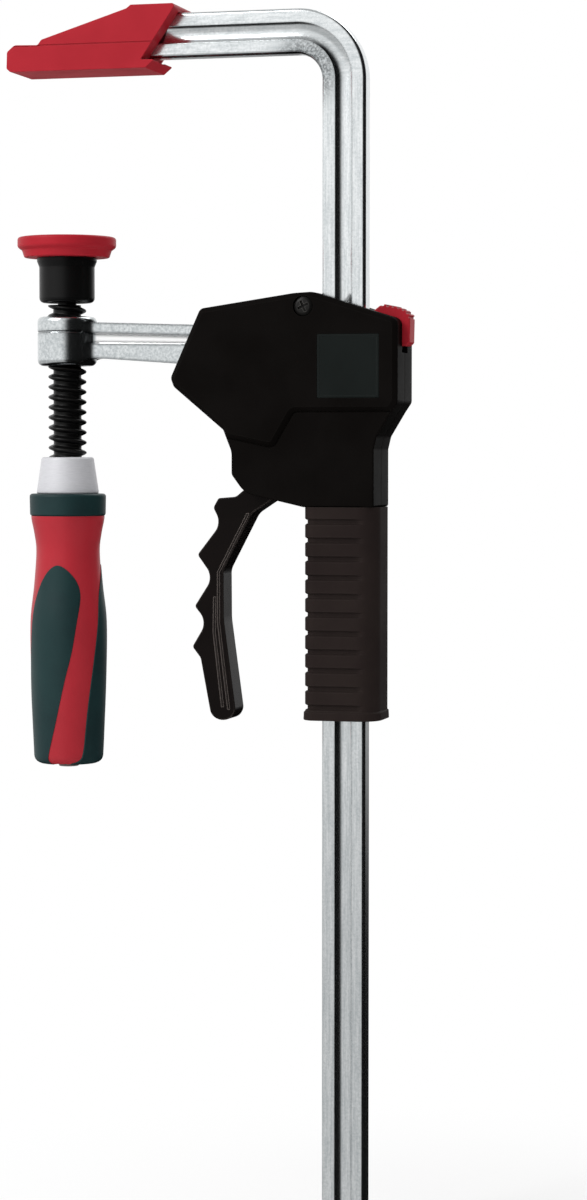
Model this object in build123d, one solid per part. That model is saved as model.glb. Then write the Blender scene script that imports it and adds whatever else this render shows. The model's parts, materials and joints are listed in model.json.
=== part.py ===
from build123d import *
import math
import os

# One-handed clamp, in millimetres.
# The origin is the middle of the fixed jaw's clamping face, on the spindle's axis.
# +Z points up along the rail, +X points from the spindle to the rail.
# The sliding head is drawn where it stands with the jaws open by jaw_opening.

os.makedirs("parts", exist_ok=True)

# Clearances that several fits share
overrun = 5.0
slip = 0.05
seat = 0.1
gap = 0.3

# Rail
rail_width = 19.5
rail_thickness = 9.5
rail_edge_radius = 1.2
rail_height = 546.0
groove_width = 7.5
groove_depth = 1.3
throat = 118.2
bend_inner_radius = 11.5
rail_tip_reach = 9.0
rail_tip_height = 4.1
rail_taper_length = 45.0
stop_pin_diameter = 5.0
stop_pin_length = 18.0
stop_pin_edge = 8.0

# Fixed jaw pad
pad_tip_reach = 23.0
pad_length = 77.5
pad_height = 27.4
pad_width = 28.0
pad_seat_height = 5.1
pad_sole = 3.0
pad_relief_start = 20.0

# Opening between the jaws as drawn
jaw_opening = 72.0

# Pressure cap, cup, ball and ring
cap_diameter = 43.8
cap_height = 9.0
cap_lip = 6.4
cap_rounding = 1.0
cap_foot_diameter = 37.0
cup_diameter = 24.6
cup_top_diameter = 26.6
cup_height = 20.0
cup_rounding = 2.2
cup_flare_height = 5.5
cup_spigot_diameter = 20.0
cup_spigot_height = 3.5
cup_bore = 16.4
cup_roof = 5.0
ball_diameter = 10.0
ball_sink = 3.0
collar_diameter = 13.0
collar_height = 4.0
neck_diameter = 8.4
ring_inner_diameter = 11.4
ring_thickness = 1.6
ring_groove = 0.8
ring_edge = 1.2

# Spindle
spindle_diameter = 17.0
thread_pitch = 4.5
thread_depth = 2.3
thread_turns = 15
thread_root_share = 0.12
thread_crest_share = 0.36
thread_start_gap = 1.05
spindle_above_boss = 6.2
spindle_below_boss = 40.5
shank_diameter = 11.0
shank_length = 95.0

# Slide arm
boss_diameter = 26.3
boss_height = 21.8
boss_rounding = 2.2
arm_width = 15.0
arm_web = 6.0
arm_top_drop = 2.2
arm_height = 15.2
arm_top_fall = 3.8
arm_bottom_fall = 8.0
arm_flange = 4.6
arm_recess_height = 5.6
arm_recess_narrowing = 2.2
arm_rounding = 1.2
eye_width = 21.0
eye_column = 14.0
eye_gap_to_rail = 6.2
eye_back_wall = 4.6
eye_top_drop = 5.8
upper_eye_height = 8.0
window_height = 20.0
lower_eye_height = 7.0
lower_eye_back = 11.3
lug_reach = 3.5
lug_height = 3.0

# Brake plate and its spring
brake_thickness = 4.0
brake_width = 20.0
brake_drop = 10.0
brake_tilt = 4.5
brake_pivot_inset = 2.0
brake_window = 0.5
brake_spring_diameter = 7.0
brake_spring_wire = 0.8
brake_spring_turns = 5
brake_spring_inset = 4.3

# Head of the housing
head_length = 102.8
head_height = 92.9
head_back_reach = 17.3
head_rise = 9.1
neck_inset = 1.4
neck_rake = 1.3
belly_room = 5.4
head_thickness = 32.0
neck_thickness = 29.0
head_wall = 2.8
cavity_width = 23.4
cavity_floor = 4.0
panel_bevel_angle = 50.0
back_flat_width = 12.0
back_chamfer_depth = 4.6

# Outline of the head, clockwise from its upper front corner. Each row is a place as shares of
# head_length and of head_height, and the corner radius as a share of head_height.
head_shares = [
    (0.133, 0.072, 0.022),
    (0.548, 0.005, 0.250),
    (0.630, 0.000, 0.090),
    (1.000, 0.128, 0.038),
    (1.000, 0.512, 0.032),
]
nose_shares = [
    (0.014, 0.437, 0.032),
    (0.000, 0.395, 0.032),
]

# Where the head narrows to its neck: shares of head_height down, then the corner radius
neck_shares = [(0.672, 0.043), (0.731, 0.032)]

# Belly round the trigger's head: across as shares of the way from the belly's front to the grip's,
# down and corner radius as shares of head_height
belly_shares = [
    (0.183, 0.935, 0.097),
    (0.000, 0.849, 0.032),
    (0.000, 0.742, 0.086),
    (-0.115, 0.640, 0.054),
]

# Lower edge of the raised panel, as shares of head_length and head_height
panel_edge_shares = [
    (1.100, 0.556),
    (0.549, 0.556),
    (0.459, 0.724),
    (0.253, 0.677),
    (-0.100, 0.600),
]

# Badge, screws and cut-outs of the head
badge_side = 27.4
badge_depth = 0.8
badge_back_inset = 8.6
badge_top_drop = 18.4
screw_head_diameter = 8.7
screw_head_height = 3.2
screw_shank_diameter = 4.0
screw_length = 24.0
screw_slot_width = 1.2
screw_slot_length = 5.0
screw_slot_depth = 1.6
screw_boss_wall = 2.0
top_screw_front = 5.5
top_screw_drop = 6.2
nose_screw_back = 10.8
nose_screw_gap = 4.0
belly_screw_front = 6.7
belly_screw_gap = 0.6

# Guides round the rail
guide_wall = 1.8
guide_height = 8.0
guide_inset = 3.2
rail_slide_gap = 0.15
rail_channel_gap = 0.45

# Grip
grip_front_wall = 5.8
grip_back_wall = 7.4
grip_length = 92.5
grip_thickness = 30.0
sleeve_thickness = 2.8
sleeve_corner = 5.0
shank_corner = 3.0
rib_count = 11
rib_pitch = 8.05
rib_first = 6.3
rib_groove = 2.0
rib_depth = 1.1
rib_back_land = 6.0
collar_flare = 1.4
collar_band = 4.0

# Release button
button_width = 10.0
button_travel = 2.6
button_front_reach = 16.4
button_stem_width = 5.0
button_proud = 2.6
button_rise = 6.5
button_slab_share = 0.3

# Outline of the button: shares of button_front_reach, measured back from its front edge, and
# shares of its height, measured down from its top
button_height = 18.0
button_shares = [
    (0.000, 0.160),
    (0.170, 0.040),
    (0.310, 0.000),
    (0.620, 0.055),
    (0.850, 0.140),
    (1.000, 0.270),
    (0.985, 0.920),
    (0.900, 1.000),
    (0.690, 1.000),
    (0.690, 0.560),
    (0.000, 0.310),
]

# Trigger
trigger_thickness = 14.0
trigger_pivot_front = 14.2
trigger_pivot_drop = 77.9
trigger_hub_diameter = 14.0
trigger_pin_diameter = 6.0
trigger_pin_length = 26.0
fork_width = 17.4
fork_gap = 11.2
roller_diameter = 6.0
roller_front = 14.0
roller_rise = 20.5
fork_arm_width = 9.0

# Outline of the trigger below its pivot. Each row is a place as shares of trigger_reach, forward
# of the pivot, and of trigger_drop, below it, and the corner radius as a share of trigger_drop.
trigger_reach = 44.0
trigger_drop = 109.6
trigger_shares = [
    (0.159, -0.018, 0.000),
    (0.450, 0.066, 0.010),
    (0.545, 0.098, 0.030),
    (0.727, 0.104, 0.012),
    (0.780, 0.142, 0.018),
    (0.700, 0.205, 0.060),
    (0.945, 0.331, 0.014),
    (0.785, 0.420, 0.060),
    (0.975, 0.538, 0.014),
    (0.850, 0.600, 0.060),
    (1.000, 0.701, 0.014),
    (0.915, 0.745, 0.030),
    (0.806, 0.978, 0.030),
    (0.670, 1.000, 0.040),
    (0.545, 0.965, 0.030),
    (0.605, 0.790, 0.200),
    (0.672, 0.590, 0.200),
    (0.675, 0.392, 0.060),
    (0.380, 0.165, 0.060),
    (0.000, 0.064, 0.000),
]

# Drive plates and their spring
drive_plate_thickness = 3.0
drive_plate_gap = 0.2
drive_plate_back = 2.6
drive_plate_width = 19.0
drive_tongue_width = 10.0
drive_tongue_reach = 34.2
drive_shoulder_reach = 9.0
drive_window = 0.35
drive_spring_bore = 22.4
drive_spring_wire = 1.3
drive_spring_turns = 4
drive_spring_pocket = 0.4

# Handle
ferrule_height = 16.3
ferrule_top_diameter = 23.1
ferrule_diameter = 27.9
ferrule_rounding = 0.8
handle_ring_height = 9.8
handle_ring_diameter = 34.1
handle_ring_rounding = 1.2
handle_neck_diameter = 26.0
handle_length = 120.2
handle_diameter = 33.8
handle_foot_rounding = 3.7
handle_foot_share = 0.1
insert_depth = 1.6
insert_proud = 0.3
insert_count = 3
insert_start = 32.5
insert_length = 83.0
insert_turn = -25.0
end_plug_diameter = 9.0
end_plug_height = 4.0
end_plug_proud = 1.8
cross_pin_diameter = 3.0
cross_pin_drop = 22.0

# Radius of the handle, as shares of half its diameter, and how far down, as shares of its length
handle_shares = [
    (0.100, 0.955),
    (0.150, 0.885),
    (0.215, 0.838),
    (0.340, 0.900),
    (0.475, 1.000),
    (0.680, 0.985),
    (0.890, 0.925),
]

# Outline of a soft insert, unrolled: across as shares of handle_diameter, and down as shares of
# insert_length
insert_shares = [
    (0.210, 0.000),
    (0.370, 0.070),
    (0.427, 0.200),
    (0.390, 0.420),
    (0.308, 0.600),
    (0.190, 0.820),
    (0.070, 1.000),
    (-0.150, 1.030),
    (-0.350, 0.970),
    (-0.320, 0.660),
    (-0.203, 0.300),
    (0.060, 0.080),
]

# Places worked out from the sizes above
rail_front = throat
rail_x = rail_front + rail_width / 2
rail_back = rail_front + rail_width
rail_top = pad_seat_height + rail_width
rail_bottom = rail_top - rail_height
cap_top = -jaw_opening
cap_bottom = cap_top - cap_height
cup_bottom = cap_bottom - cup_height
boss_top = cup_bottom - spindle_above_boss
boss_bottom = boss_top - boss_height
ferrule_top = boss_bottom - spindle_below_boss
ferrule_bottom = ferrule_top - ferrule_height
handle_bottom = ferrule_bottom - handle_length
head_top = boss_top + head_rise
head_back = rail_back + head_back_reach
head_front = head_back - head_length
head_bottom = head_top - head_height
grip_front = rail_front - grip_front_wall
grip_back = rail_back + grip_back_wall
grip_bottom = head_bottom - grip_length
eye_top = boss_top - eye_top_drop
window_top = eye_top - upper_eye_height
window_bottom = window_top - window_height
eye_bottom = window_bottom - lower_eye_height
column_back = rail_front - eye_gap_to_rail
column_front = column_back - eye_column
brake_z = window_top - brake_drop
trigger_x = rail_front - trigger_pivot_front
trigger_z = head_top - trigger_pivot_drop
roller_x = trigger_x - roller_front
roller_z = trigger_z + roller_rise
drive_top = roller_z - roller_diameter / 2 - gap
drive_bottom = drive_top - 2 * drive_plate_thickness - drive_plate_gap
cavity_bottom = head_bottom + cavity_floor
neck_back = grip_back - neck_inset
belly_front = roller_x - fork_arm_width / 2 - belly_room


def side_face(rows):
    """A face from rows of (x, z, corner radius), drawn flat before it is stood up."""
    places = [(row[0], row[1]) for row in rows]
    if all(len(row) == 3 for row in rows) and any(row[2] > 0 for row in rows):
        return make_face(FilletPolyline(places, radius=[row[2] for row in rows], close=True))
    return make_face(Polyline(places, close=True))


def side_plate(face, low, high):
    """Stands a flat face up in the XZ plane and gives it thickness from Y = low to Y = high."""
    place = Plane((0, low, 0), x_dir=(1, 0, 0), z_dir=(0, -1, 0))
    return extrude(place * face, amount=-(high - low))


def block(x_low, x_high, y_low, y_high, z_low, z_high):
    """A box given by its faces."""
    middle = ((x_low + x_high) / 2, (y_low + y_high) / 2, (z_low + z_high) / 2)
    return Pos(middle) * Box(x_high - x_low, y_high - y_low, z_high - z_low)


def turned(rows, axis_x=0.0):
    """A solid of revolution about the vertical line at axis_x, from rows of (radius, z)."""
    face = Plane.XZ * make_face(Polyline(rows, close=True))
    return Pos(axis_x, 0, 0) * revolve(face, axis=Axis.Z)


def cylinder(axis_x, diameter, z_low, z_high):
    """An upright cylinder."""
    return Pos(axis_x, 0, (z_low + z_high) / 2) * Cylinder(diameter / 2, z_high - z_low)


def cross_cylinder(x, z, diameter, y_low, y_high):
    """A cylinder along Y."""
    return Pos(x, (y_low + y_high) / 2, z) * Rot(90, 0, 0) * Cylinder(diameter / 2, y_high - y_low)


def head_point(share_x, share_z):
    """A place on the head, from its shares."""
    return head_front + share_x * head_length, head_top - share_z * head_height


def arm_underside(x):
    """Height of the arm's lower edge."""
    return boss_top - arm_top_drop - arm_height - arm_bottom_fall * x / column_back


def rail_face(inset):
    """Side view of the rail, narrowed by inset along both of its edges."""
    outer = bend_inner_radius + rail_width - inset
    inner = bend_inner_radius + inset
    start = -rail_tip_reach
    back_line = Polyline((start, rail_top - inset), (rail_back - inset - outer, rail_top - inset))
    back_arc = JernArc(back_line @ 1, (1, 0), outer, -90)
    down_line = Line(back_arc @ 1, (rail_back - inset, rail_bottom))
    foot = Line(down_line @ 1, (rail_front + inset, rail_bottom))
    up_line = Line(foot @ 1, (rail_front + inset, pad_seat_height + inset - inner))
    front_arc = JernArc(up_line @ 1, (0, 1), inner, 90)
    front_line = Line(front_arc @ 1, (start, pad_seat_height + inset))
    tip = Line(front_line @ 1, back_line @ 0)
    return make_face([back_line, back_arc, down_line, foot, up_line, front_arc, front_line, tip])


def rail_taper(clearance):
    """What the slanted cut takes off the end of the rail's arm."""
    tip_z = pad_seat_height + rail_tip_height + clearance
    rise = rail_width - rail_tip_height
    start = -rail_tip_reach - overrun
    start_z = tip_z - rise * overrun / rail_taper_length
    end = rail_taper_length - rail_tip_reach + overrun
    end_z = tip_z + rise * (rail_taper_length + overrun) / rail_taper_length
    rows = [(start, start_z), (end, end_z), (start, end_z)]
    return side_plate(side_face(rows), -rail_thickness, rail_thickness)


def make_rail():
    half = rail_thickness / 2
    bar = side_plate(rail_face(0), -half, half)
    long_edges = bar.edges().filter_by(lambda edge: edge.length > rail_width * 1.1)
    long_edges = long_edges.filter_by(lambda edge: abs(abs(edge.center().Y) - half) < slip)
    bar = fillet(long_edges, rail_edge_radius)
    rim = (rail_width - groove_width) / 2
    groove = rail_face(rim)
    bar -= side_plate(groove, half - groove_depth, half + overrun)
    bar -= side_plate(groove, -half - overrun, -half + groove_depth)
    bar -= rail_taper(0)
    stop_z = rail_bottom + stop_pin_edge
    return bar - cross_cylinder(rail_x, stop_z, stop_pin_diameter, -rail_thickness, rail_thickness)


def make_stop_pin():
    half = stop_pin_length / 2
    return cross_cylinder(rail_x, rail_bottom + stop_pin_edge, stop_pin_diameter, -half, half)


def make_jaw_pad():
    """The pad: a slanted cap with a low nose, open at its back for the rail."""
    left = -pad_tip_reach
    shares = [
        (0.000, 0.055),
        (0.022, 0.000),
        (0.828, 0.000),
        (0.883, 0.130),
        (0.800, 0.130),
        (1.000, 0.950),
        (0.990, 1.000),
        (0.742, 1.000),
        (0.717, 0.945),
        (0.210, 0.500),
        (0.187, 0.416),
        (0.048, 0.427),
        (0.003, 0.321),
    ]
    rows = [(left + pad_length * across, pad_height * up) for across, up in shares]
    half = pad_width / 2
    pad = side_plate(side_face(rows), -half, half)
    room = rail_thickness / 2 + seat
    pocket = block(-rail_tip_reach - seat, left + pad_length + overrun, -room, room,
                   pad_seat_height - seat, rail_top + seat)
    pocket -= rail_taper(seat)
    relief = block(pad_relief_start, left + pad_length + overrun, -room, room,
                   pad_sole, pad_seat_height)
    return pad - pocket - relief


def arm_face():
    """Side view of the arm between the boss and the eyes."""
    top = boss_top - arm_top_drop
    bottom = top - arm_height
    rows = [
        (0, top),
        (column_back, top - arm_top_fall),
        (column_back, bottom - arm_bottom_fall),
        (0, bottom),
    ]
    return side_face(rows)


def arm_recess_face():
    """Side view of the hollow between the arm's flanges."""
    top = boss_top - arm_top_drop - arm_flange
    start = boss_diameter / 2 - arm_flange / 2
    rows = [
        (start, top),
        (column_front, top - arm_top_fall * column_front / column_back),
        (column_front, top - arm_recess_height - arm_recess_narrowing / 2),
        (start, top - arm_recess_height),
    ]
    return side_face(rows)


def make_slide_arm():
    half = arm_width / 2
    arm = side_plate(arm_face(), -half, half)
    arm = fillet(arm.edges().filter_by(Axis.Y, reverse=True).filter_by(
        lambda edge: edge.length > boss_diameter), arm_rounding)
    boss = cylinder(0, boss_diameter, boss_bottom, boss_top)
    arm += fillet(boss.edges().filter_by(GeomType.CIRCLE), boss_rounding)
    recess = arm_recess_face()
    web = arm_web / 2
    arm -= side_plate(recess, web, half + overrun)
    arm -= side_plate(recess, -half - overrun, -web)
    side = eye_width / 2
    eyes = block(column_front, rail_back + eye_back_wall, -side, side, eye_bottom, eye_top)
    eyes += block(column_front, rail_back + lower_eye_back, -side, side, eye_bottom, window_bottom)
    window = block(column_back, rail_back + lower_eye_back + overrun, -side - overrun,
                   side + overrun, window_bottom, window_top)
    room_x = rail_width / 2 + gap
    room_y = rail_thickness / 2 + gap
    hole = block(rail_x - room_x, rail_x + room_x, -room_y, room_y,
                 eye_bottom - overrun, eye_top + overrun)
    lug_z = brake_z + brake_thickness / 2 + gap
    lug = block(column_back - overrun, column_back + lug_reach, -side, side,
                lug_z, lug_z + lug_height)
    arm += eyes - window - hole
    arm += lug
    return arm - cylinder(0, spindle_diameter + 2 * slip, boss_bottom - overrun, boss_top + overrun)


def brake_pivot():
    """Where the brake plate tilts, at the end that the lug holds down."""
    return column_back + brake_pivot_inset, brake_z


def make_brake_plate():
    x, z = brake_pivot()
    half = brake_thickness / 2
    front = column_back + gap
    back = rail_back + lower_eye_back
    plate = block(front, back, -brake_width / 2, brake_width / 2, z - half, z + half)
    room_x = rail_width / 2 + brake_window
    room_y = rail_thickness / 2 + brake_window
    plate -= block(rail_x - room_x, rail_x + room_x, -room_y, room_y, z - overrun, z + overrun)
    return Pos(x, 0, z) * Rot(0, -brake_tilt, 0) * Pos(-x, 0, -z) * plate


def coil(axis_x, diameter, wire, z_low, z_high, turns):
    """A round wire coil between two flats, its wire just inside them."""
    rise = z_high - z_low - wire
    radius = (diameter - wire) / 2
    path = Pos(axis_x, 0, z_low + wire / 2) * Helix(rise / turns, rise, radius)
    section = Plane(path @ 0, z_dir=path % 0) * Circle(wire / 2)
    return sweep(section, path, is_frenet=True)


def brake_spring_x():
    return rail_back + lower_eye_back - brake_spring_inset


def make_brake_spring():
    x, z = brake_pivot()
    reach = brake_spring_x() - brake_spring_diameter / 2 - x
    lift = reach * math.sin(math.radians(brake_tilt))
    top = z - brake_thickness / 2 / math.cos(math.radians(brake_tilt)) + lift - gap
    return coil(brake_spring_x(), brake_spring_diameter, brake_spring_wire,
                window_bottom, top, brake_spring_turns)


def head_rows():
    rows = [(*head_point(share_x, share_z), share_r) for share_x, share_z, share_r in head_shares]
    (rake_share, rake_r_share), (neck_share, neck_r_share) = neck_shares
    rows.append((neck_back + neck_rake, head_top - rake_share * head_height, rake_r_share))
    rows.append((neck_back, head_top - neck_share * head_height, neck_r_share))
    rows += [(neck_back, head_bottom, 0), (grip_front, head_bottom, 0)]
    for across, down, share_r in belly_shares:
        x = belly_front + across * (grip_front - belly_front)
        rows.append((x, head_top - down * head_height, share_r))
    rows += [(*head_point(share_x, share_z), share_r) for share_x, share_z, share_r in nose_shares]
    return [(x, z, share_r * head_height) for x, z, share_r in rows]


def panel_region():
    """The part of the side view above the raised panel's lower edge."""
    rows = [head_point(share_x, share_z) for share_x, share_z in panel_edge_shares]
    left = head_front - overrun
    right = head_back + overrun
    rows += [(left, head_top + overrun), (right, head_top + overrun)]
    return side_face(rows)


def shank_block(inset, z_low, z_high):
    """The rounded column round the rail, set in from the sleeve's outside."""
    width = grip_back - grip_front - 2 * inset
    depth = grip_thickness - 2 * inset
    corner = sleeve_corner if inset == 0 else shank_corner
    column = RectangleRounded(width, depth, corner)
    middle = (grip_front + grip_back) / 2
    return extrude(Plane((middle, 0, z_low)) * column, amount=z_high - z_low)


def back_wedge(side):
    """What the long chamfer takes off one rear edge of the head."""
    back = head_back
    flat = back_flat_width / 2
    outside = head_thickness / 2 + overrun
    fall = back_chamfer_depth * (outside - flat) / (head_thickness / 2 - flat)
    face = make_face(Polyline([
        (back, side * flat),
        (back + overrun, side * flat),
        (back + overrun, side * outside),
        (back - fall, side * outside),
    ], close=True))
    low = head_top - head_height
    return extrude(Plane((0, 0, low)) * face, amount=head_height + overrun)


def head_solid():
    """Outside of the whole housing before it is hollowed and split."""
    neck = neck_thickness / 2
    step = (head_thickness - neck_thickness) / 2
    outline = side_face(head_rows())
    body = side_plate(outline, -neck, neck)
    panel = outline & panel_region()
    for side in (-1, 1):
        place = Plane((0, side * neck, 0), x_dir=(1, 0, 0), z_dir=(0, side, 0))
        flat = panel if side < 0 else mirror(panel, about=Plane.XZ)
        raised = extrude(place * flat, amount=step, taper=panel_bevel_angle)
        body += raised
    for side in (-1, 1):
        body -= back_wedge(side)
    body += shank_block(sleeve_thickness, grip_bottom + rail_channel_gap, head_bottom + overrun)
    return body


def screw_places():
    """Each screw's place and the side that its head is on."""
    boss = screw_shank_diameter / 2 + screw_boss_wall
    nose_x = head_front + nose_screw_back
    belly_z = roller_z + fork_arm_width / 2 + boss + belly_screw_gap
    return [
        (rail_front - top_screw_front, head_top - top_screw_drop, -1),
        (nose_x, arm_underside(nose_x) - boss - nose_screw_gap, 1),
        (column_front - belly_screw_front, belly_z, 1),
    ]


def screw_recess(x, z, side):
    """Room for a screw: its head in one face and its shank across the parting plane."""
    face = side * head_thickness / 2
    end = face - side * screw_length
    low, high = sorted((face - side * screw_head_height, face + side * overrun))
    recess = cross_cylinder(x, z, screw_head_diameter + 2 * seat, low, high)
    low, high = sorted((face, end - side * seat))
    return recess + cross_cylinder(x, z, screw_shank_diameter, low, high)


def guide_outline(clearance, z_low, z_high):
    """Block round the rail that a guide fills."""
    half_x = rail_width / 2 + rail_slide_gap + guide_wall + clearance
    half_y = rail_thickness / 2 + rail_slide_gap + guide_wall + clearance
    return block(rail_x - half_x, rail_x + half_x, -half_y, half_y,
                 z_low - clearance, z_high + clearance)


def guide_spans():
    """Low and high ends of the two guides."""
    top = head_top - guide_inset
    low = grip_bottom + guide_inset
    return {"upper_guide": (top - guide_height, top), "lower_guide": (low, low + guide_height)}


def make_guide(name):
    low, high = guide_spans()[name]
    half_x = rail_width / 2 + rail_slide_gap
    half_y = rail_thickness / 2 + rail_slide_gap
    hole = block(rail_x - half_x, rail_x + half_x, -half_y, half_y, low - overrun, high + overrun)
    return guide_outline(0, low, high) - hole


def cavity():
    """Hollow of the head, with the pocket of the drive spring."""
    half = cavity_width / 2
    inner = offset(side_face(head_rows()), amount=-head_wall)
    floor = [
        (head_front, cavity_bottom),
        (head_back, cavity_bottom),
        (head_back, head_top),
        (head_front, head_top),
    ]
    hollow = side_plate(inner & side_face(floor), -half, half)
    bosses = Part()
    for x, z, side in screw_places():
        wide = screw_shank_diameter + 2 * screw_boss_wall
        bosses += cross_cylinder(x, z, wide, -half, half)
    hollow -= bosses
    for side in (-1, 1):
        hollow -= Pos(-head_wall, 0, 0) * back_wedge(side)
    pocket = drive_spring_bore + 2 * drive_spring_wire + 2 * drive_spring_pocket
    return hollow + cylinder(rail_x, pocket, cavity_bottom, drive_bottom - gap)


def arm_slot():
    """Where the arm leaves the head."""
    half = arm_width / 2 + gap
    top = boss_top - arm_top_drop + gap
    bottom = top - arm_height - arm_bottom_fall - 2 * gap
    return block(head_front - overrun, column_front, -half, half, bottom, top)


def trigger_slot():
    """Where the trigger leaves the head from below."""
    half = fork_width / 2 + gap
    return block(belly_front + head_wall, grip_front, -half, half,
                 head_bottom - overrun, trigger_z + trigger_hub_diameter / 2)


def button_rows():
    """Outline of the release button."""
    left = head_back + button_proud - button_front_reach
    rows = []
    for across, down in button_shares:
        rows.append((left + across * button_front_reach, button_top() - down * button_height))
    return rows


def button_top():
    _, z = head_point(*head_shares[3][:2])
    return z + button_rise


def button_slot():
    """Room for the button over its whole travel."""
    half = button_width / 2 + gap
    left = head_back + button_proud - button_front_reach - gap
    low = button_top() - button_height - button_travel - gap
    return block(left, left + button_front_reach + button_width, -half, half,
                 low, button_top() + overrun)


def make_housing(side):
    """One half shell: side is -1 for the front one and 1 for the back one."""
    shell = head_solid()
    shell -= cavity()
    shell -= arm_slot()
    shell -= trigger_slot()
    shell -= button_slot()
    room_x = rail_width / 2 + rail_channel_gap
    room_y = rail_thickness / 2 + rail_channel_gap
    shell -= block(rail_x - room_x, rail_x + room_x, -room_y, room_y,
                   grip_bottom - overrun, head_top + overrun)
    for low, high in guide_spans().values():
        shell -= guide_outline(slip, low, high)
    for x, z, face in screw_places():
        shell -= screw_recess(x, z, face)
    pin = trigger_pin_length / 2
    shell -= cross_cylinder(trigger_x, trigger_z, trigger_pin_diameter, -pin, pin)
    if side < 0:
        shell -= badge_block(seat)
    reach = head_length + overrun
    half = head_thickness + overrun
    low, high = sorted((0, side * half))
    keep = block(head_front - overrun, head_front + reach + overrun, low, high,
                 grip_bottom - overrun, head_top + overrun)
    return shell & keep


def badge_block(clearance):
    back = head_back - badge_back_inset + clearance
    top = head_top - badge_top_drop + clearance
    side = badge_side + 2 * clearance
    face = -head_thickness / 2
    return block(back - side, back, face - overrun if clearance else face,
                 face + badge_depth, top - side, top)


def make_screws():
    """Cross-recess screws that hold the shells together."""
    screws = []
    for x, z, side in screw_places():
        face = side * head_thickness / 2
        seat_face = face - side * screw_head_height
        low, high = sorted((seat_face, face - side * seat))
        screw = cross_cylinder(x, z, screw_head_diameter, low, high)
        low, high = sorted((seat_face, face - side * screw_length))
        screw += cross_cylinder(x, z, screw_shank_diameter, low, high)
        wide = screw_slot_width / 2
        long = screw_slot_length / 2
        low, high = sorted((face - side * (screw_slot_depth + seat), face))
        screw -= block(x - long, x + long, low, high, z - wide, z + wide)
        screw -= block(x - wide, x + wide, low, high, z - long, z + long)
        screws.append(screw)
    return Compound(screws)


def make_sleeve():
    """Ribbed sleeve round the shank, with a flared collar at its foot."""
    sleeve = shank_block(0, grip_bottom, head_bottom)
    width = grip_back - grip_front
    middle = (grip_front + grip_back) / 2
    foot = RectangleRounded(width + collar_flare, grip_thickness + collar_flare, sleeve_corner)
    sleeve += extrude(Plane((middle, 0, grip_bottom)) * foot, amount=collar_band)
    land = grip_back - rib_back_land
    for index in range(rib_count):
        z = head_bottom - rib_first - index * rib_pitch
        ring = block(grip_front - overrun, land, -grip_thickness, grip_thickness,
                     z - rib_groove / 2, z + rib_groove / 2)
        ring -= shank_block(rib_depth, z - rib_groove, z + rib_groove)
        if z - rib_groove / 2 > grip_bottom + collar_band:
            sleeve -= ring
    inner = shank_block(sleeve_thickness - slip, grip_bottom - overrun, head_bottom + overrun)
    return sleeve - inner


def trigger_face():
    rows = []
    for forward, down, share_r in trigger_shares:
        x = trigger_x - forward * trigger_reach
        z = trigger_z - down * trigger_drop
        rows.append((x, z, share_r * trigger_drop))
    return side_face(rows)


def make_trigger():
    """Squeeze lever: a forked head round the drive plates, and a scalloped finger piece."""
    half = trigger_thickness / 2
    lever = side_plate(trigger_face(), -half, half)
    lever += cross_cylinder(trigger_x, trigger_z, trigger_hub_diameter, -half, half)
    wide = fork_width / 2
    fork = cross_cylinder(trigger_x, trigger_z, trigger_hub_diameter, -wide, wide)
    slope = math.atan2(roller_rise, -roller_front)
    reach = math.hypot(roller_rise, roller_front)
    bar = Pos(reach / 2, 0, 0) * Box(reach, fork_width, fork_arm_width)
    fork += Pos(trigger_x, 0, trigger_z) * Rot(0, -math.degrees(slope), 0) * bar
    fork += cross_cylinder(roller_x, roller_z, fork_arm_width, -wide, wide)
    slot = fork_gap / 2
    top = trigger_z + trigger_hub_diameter / 2 - fork_arm_width / 4
    fork -= block(roller_x - roller_diameter * 2, trigger_x + trigger_hub_diameter, -slot, slot,
                  top, roller_z + roller_diameter * 2)
    lever += fork
    lever -= cross_cylinder(trigger_x, trigger_z, trigger_pin_diameter + 2 * slip, -wide, wide)
    return lever - cross_cylinder(roller_x, roller_z, roller_diameter, -wide, wide)


def make_drive_plates():
    """Two stepping plates, one above the other, with a tongue towards the trigger."""
    plates = []
    step = drive_plate_thickness + drive_plate_gap
    for index in range(2):
        high = drive_top - index * step
        low = high - drive_plate_thickness
        shoulder = rail_front - drive_shoulder_reach
        back = rail_back + drive_plate_back
        wide = drive_plate_width / 2
        plate = block(shoulder, back, -wide, wide, low, high)
        slim = drive_tongue_width / 2
        plate += block(rail_front - drive_tongue_reach, shoulder, -slim, slim, low, high)
        room_x = rail_width / 2 + drive_window
        room_y = rail_thickness / 2 + drive_window
        plate -= block(rail_x - room_x, rail_x + room_x, -room_y, room_y,
                       low - overrun, high + overrun)
        plates.append(plate)
    return Compound(plates)


def make_drive_spring():
    outside = drive_spring_bore + 2 * drive_spring_wire
    return coil(rail_x, outside, drive_spring_wire, cavity_bottom + gap / 3,
                drive_bottom - gap, drive_spring_turns)


def make_button():
    """Release button with the stem that presses the free end of the brake plate."""
    half = button_width / 2
    button = side_plate(side_face(button_rows()), -half, half)
    x, z = brake_pivot()
    back = rail_back + lower_eye_back - gap
    front = back - button_stem_width
    reach = back - x
    top = z + brake_thickness / 2 / math.cos(math.radians(brake_tilt))
    foot = top + reach * math.tan(math.radians(brake_tilt)) + gap / 2
    stem = block(front, back, -half, half, foot, button_top() - button_height * button_slab_share)
    return button + stem


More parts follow.
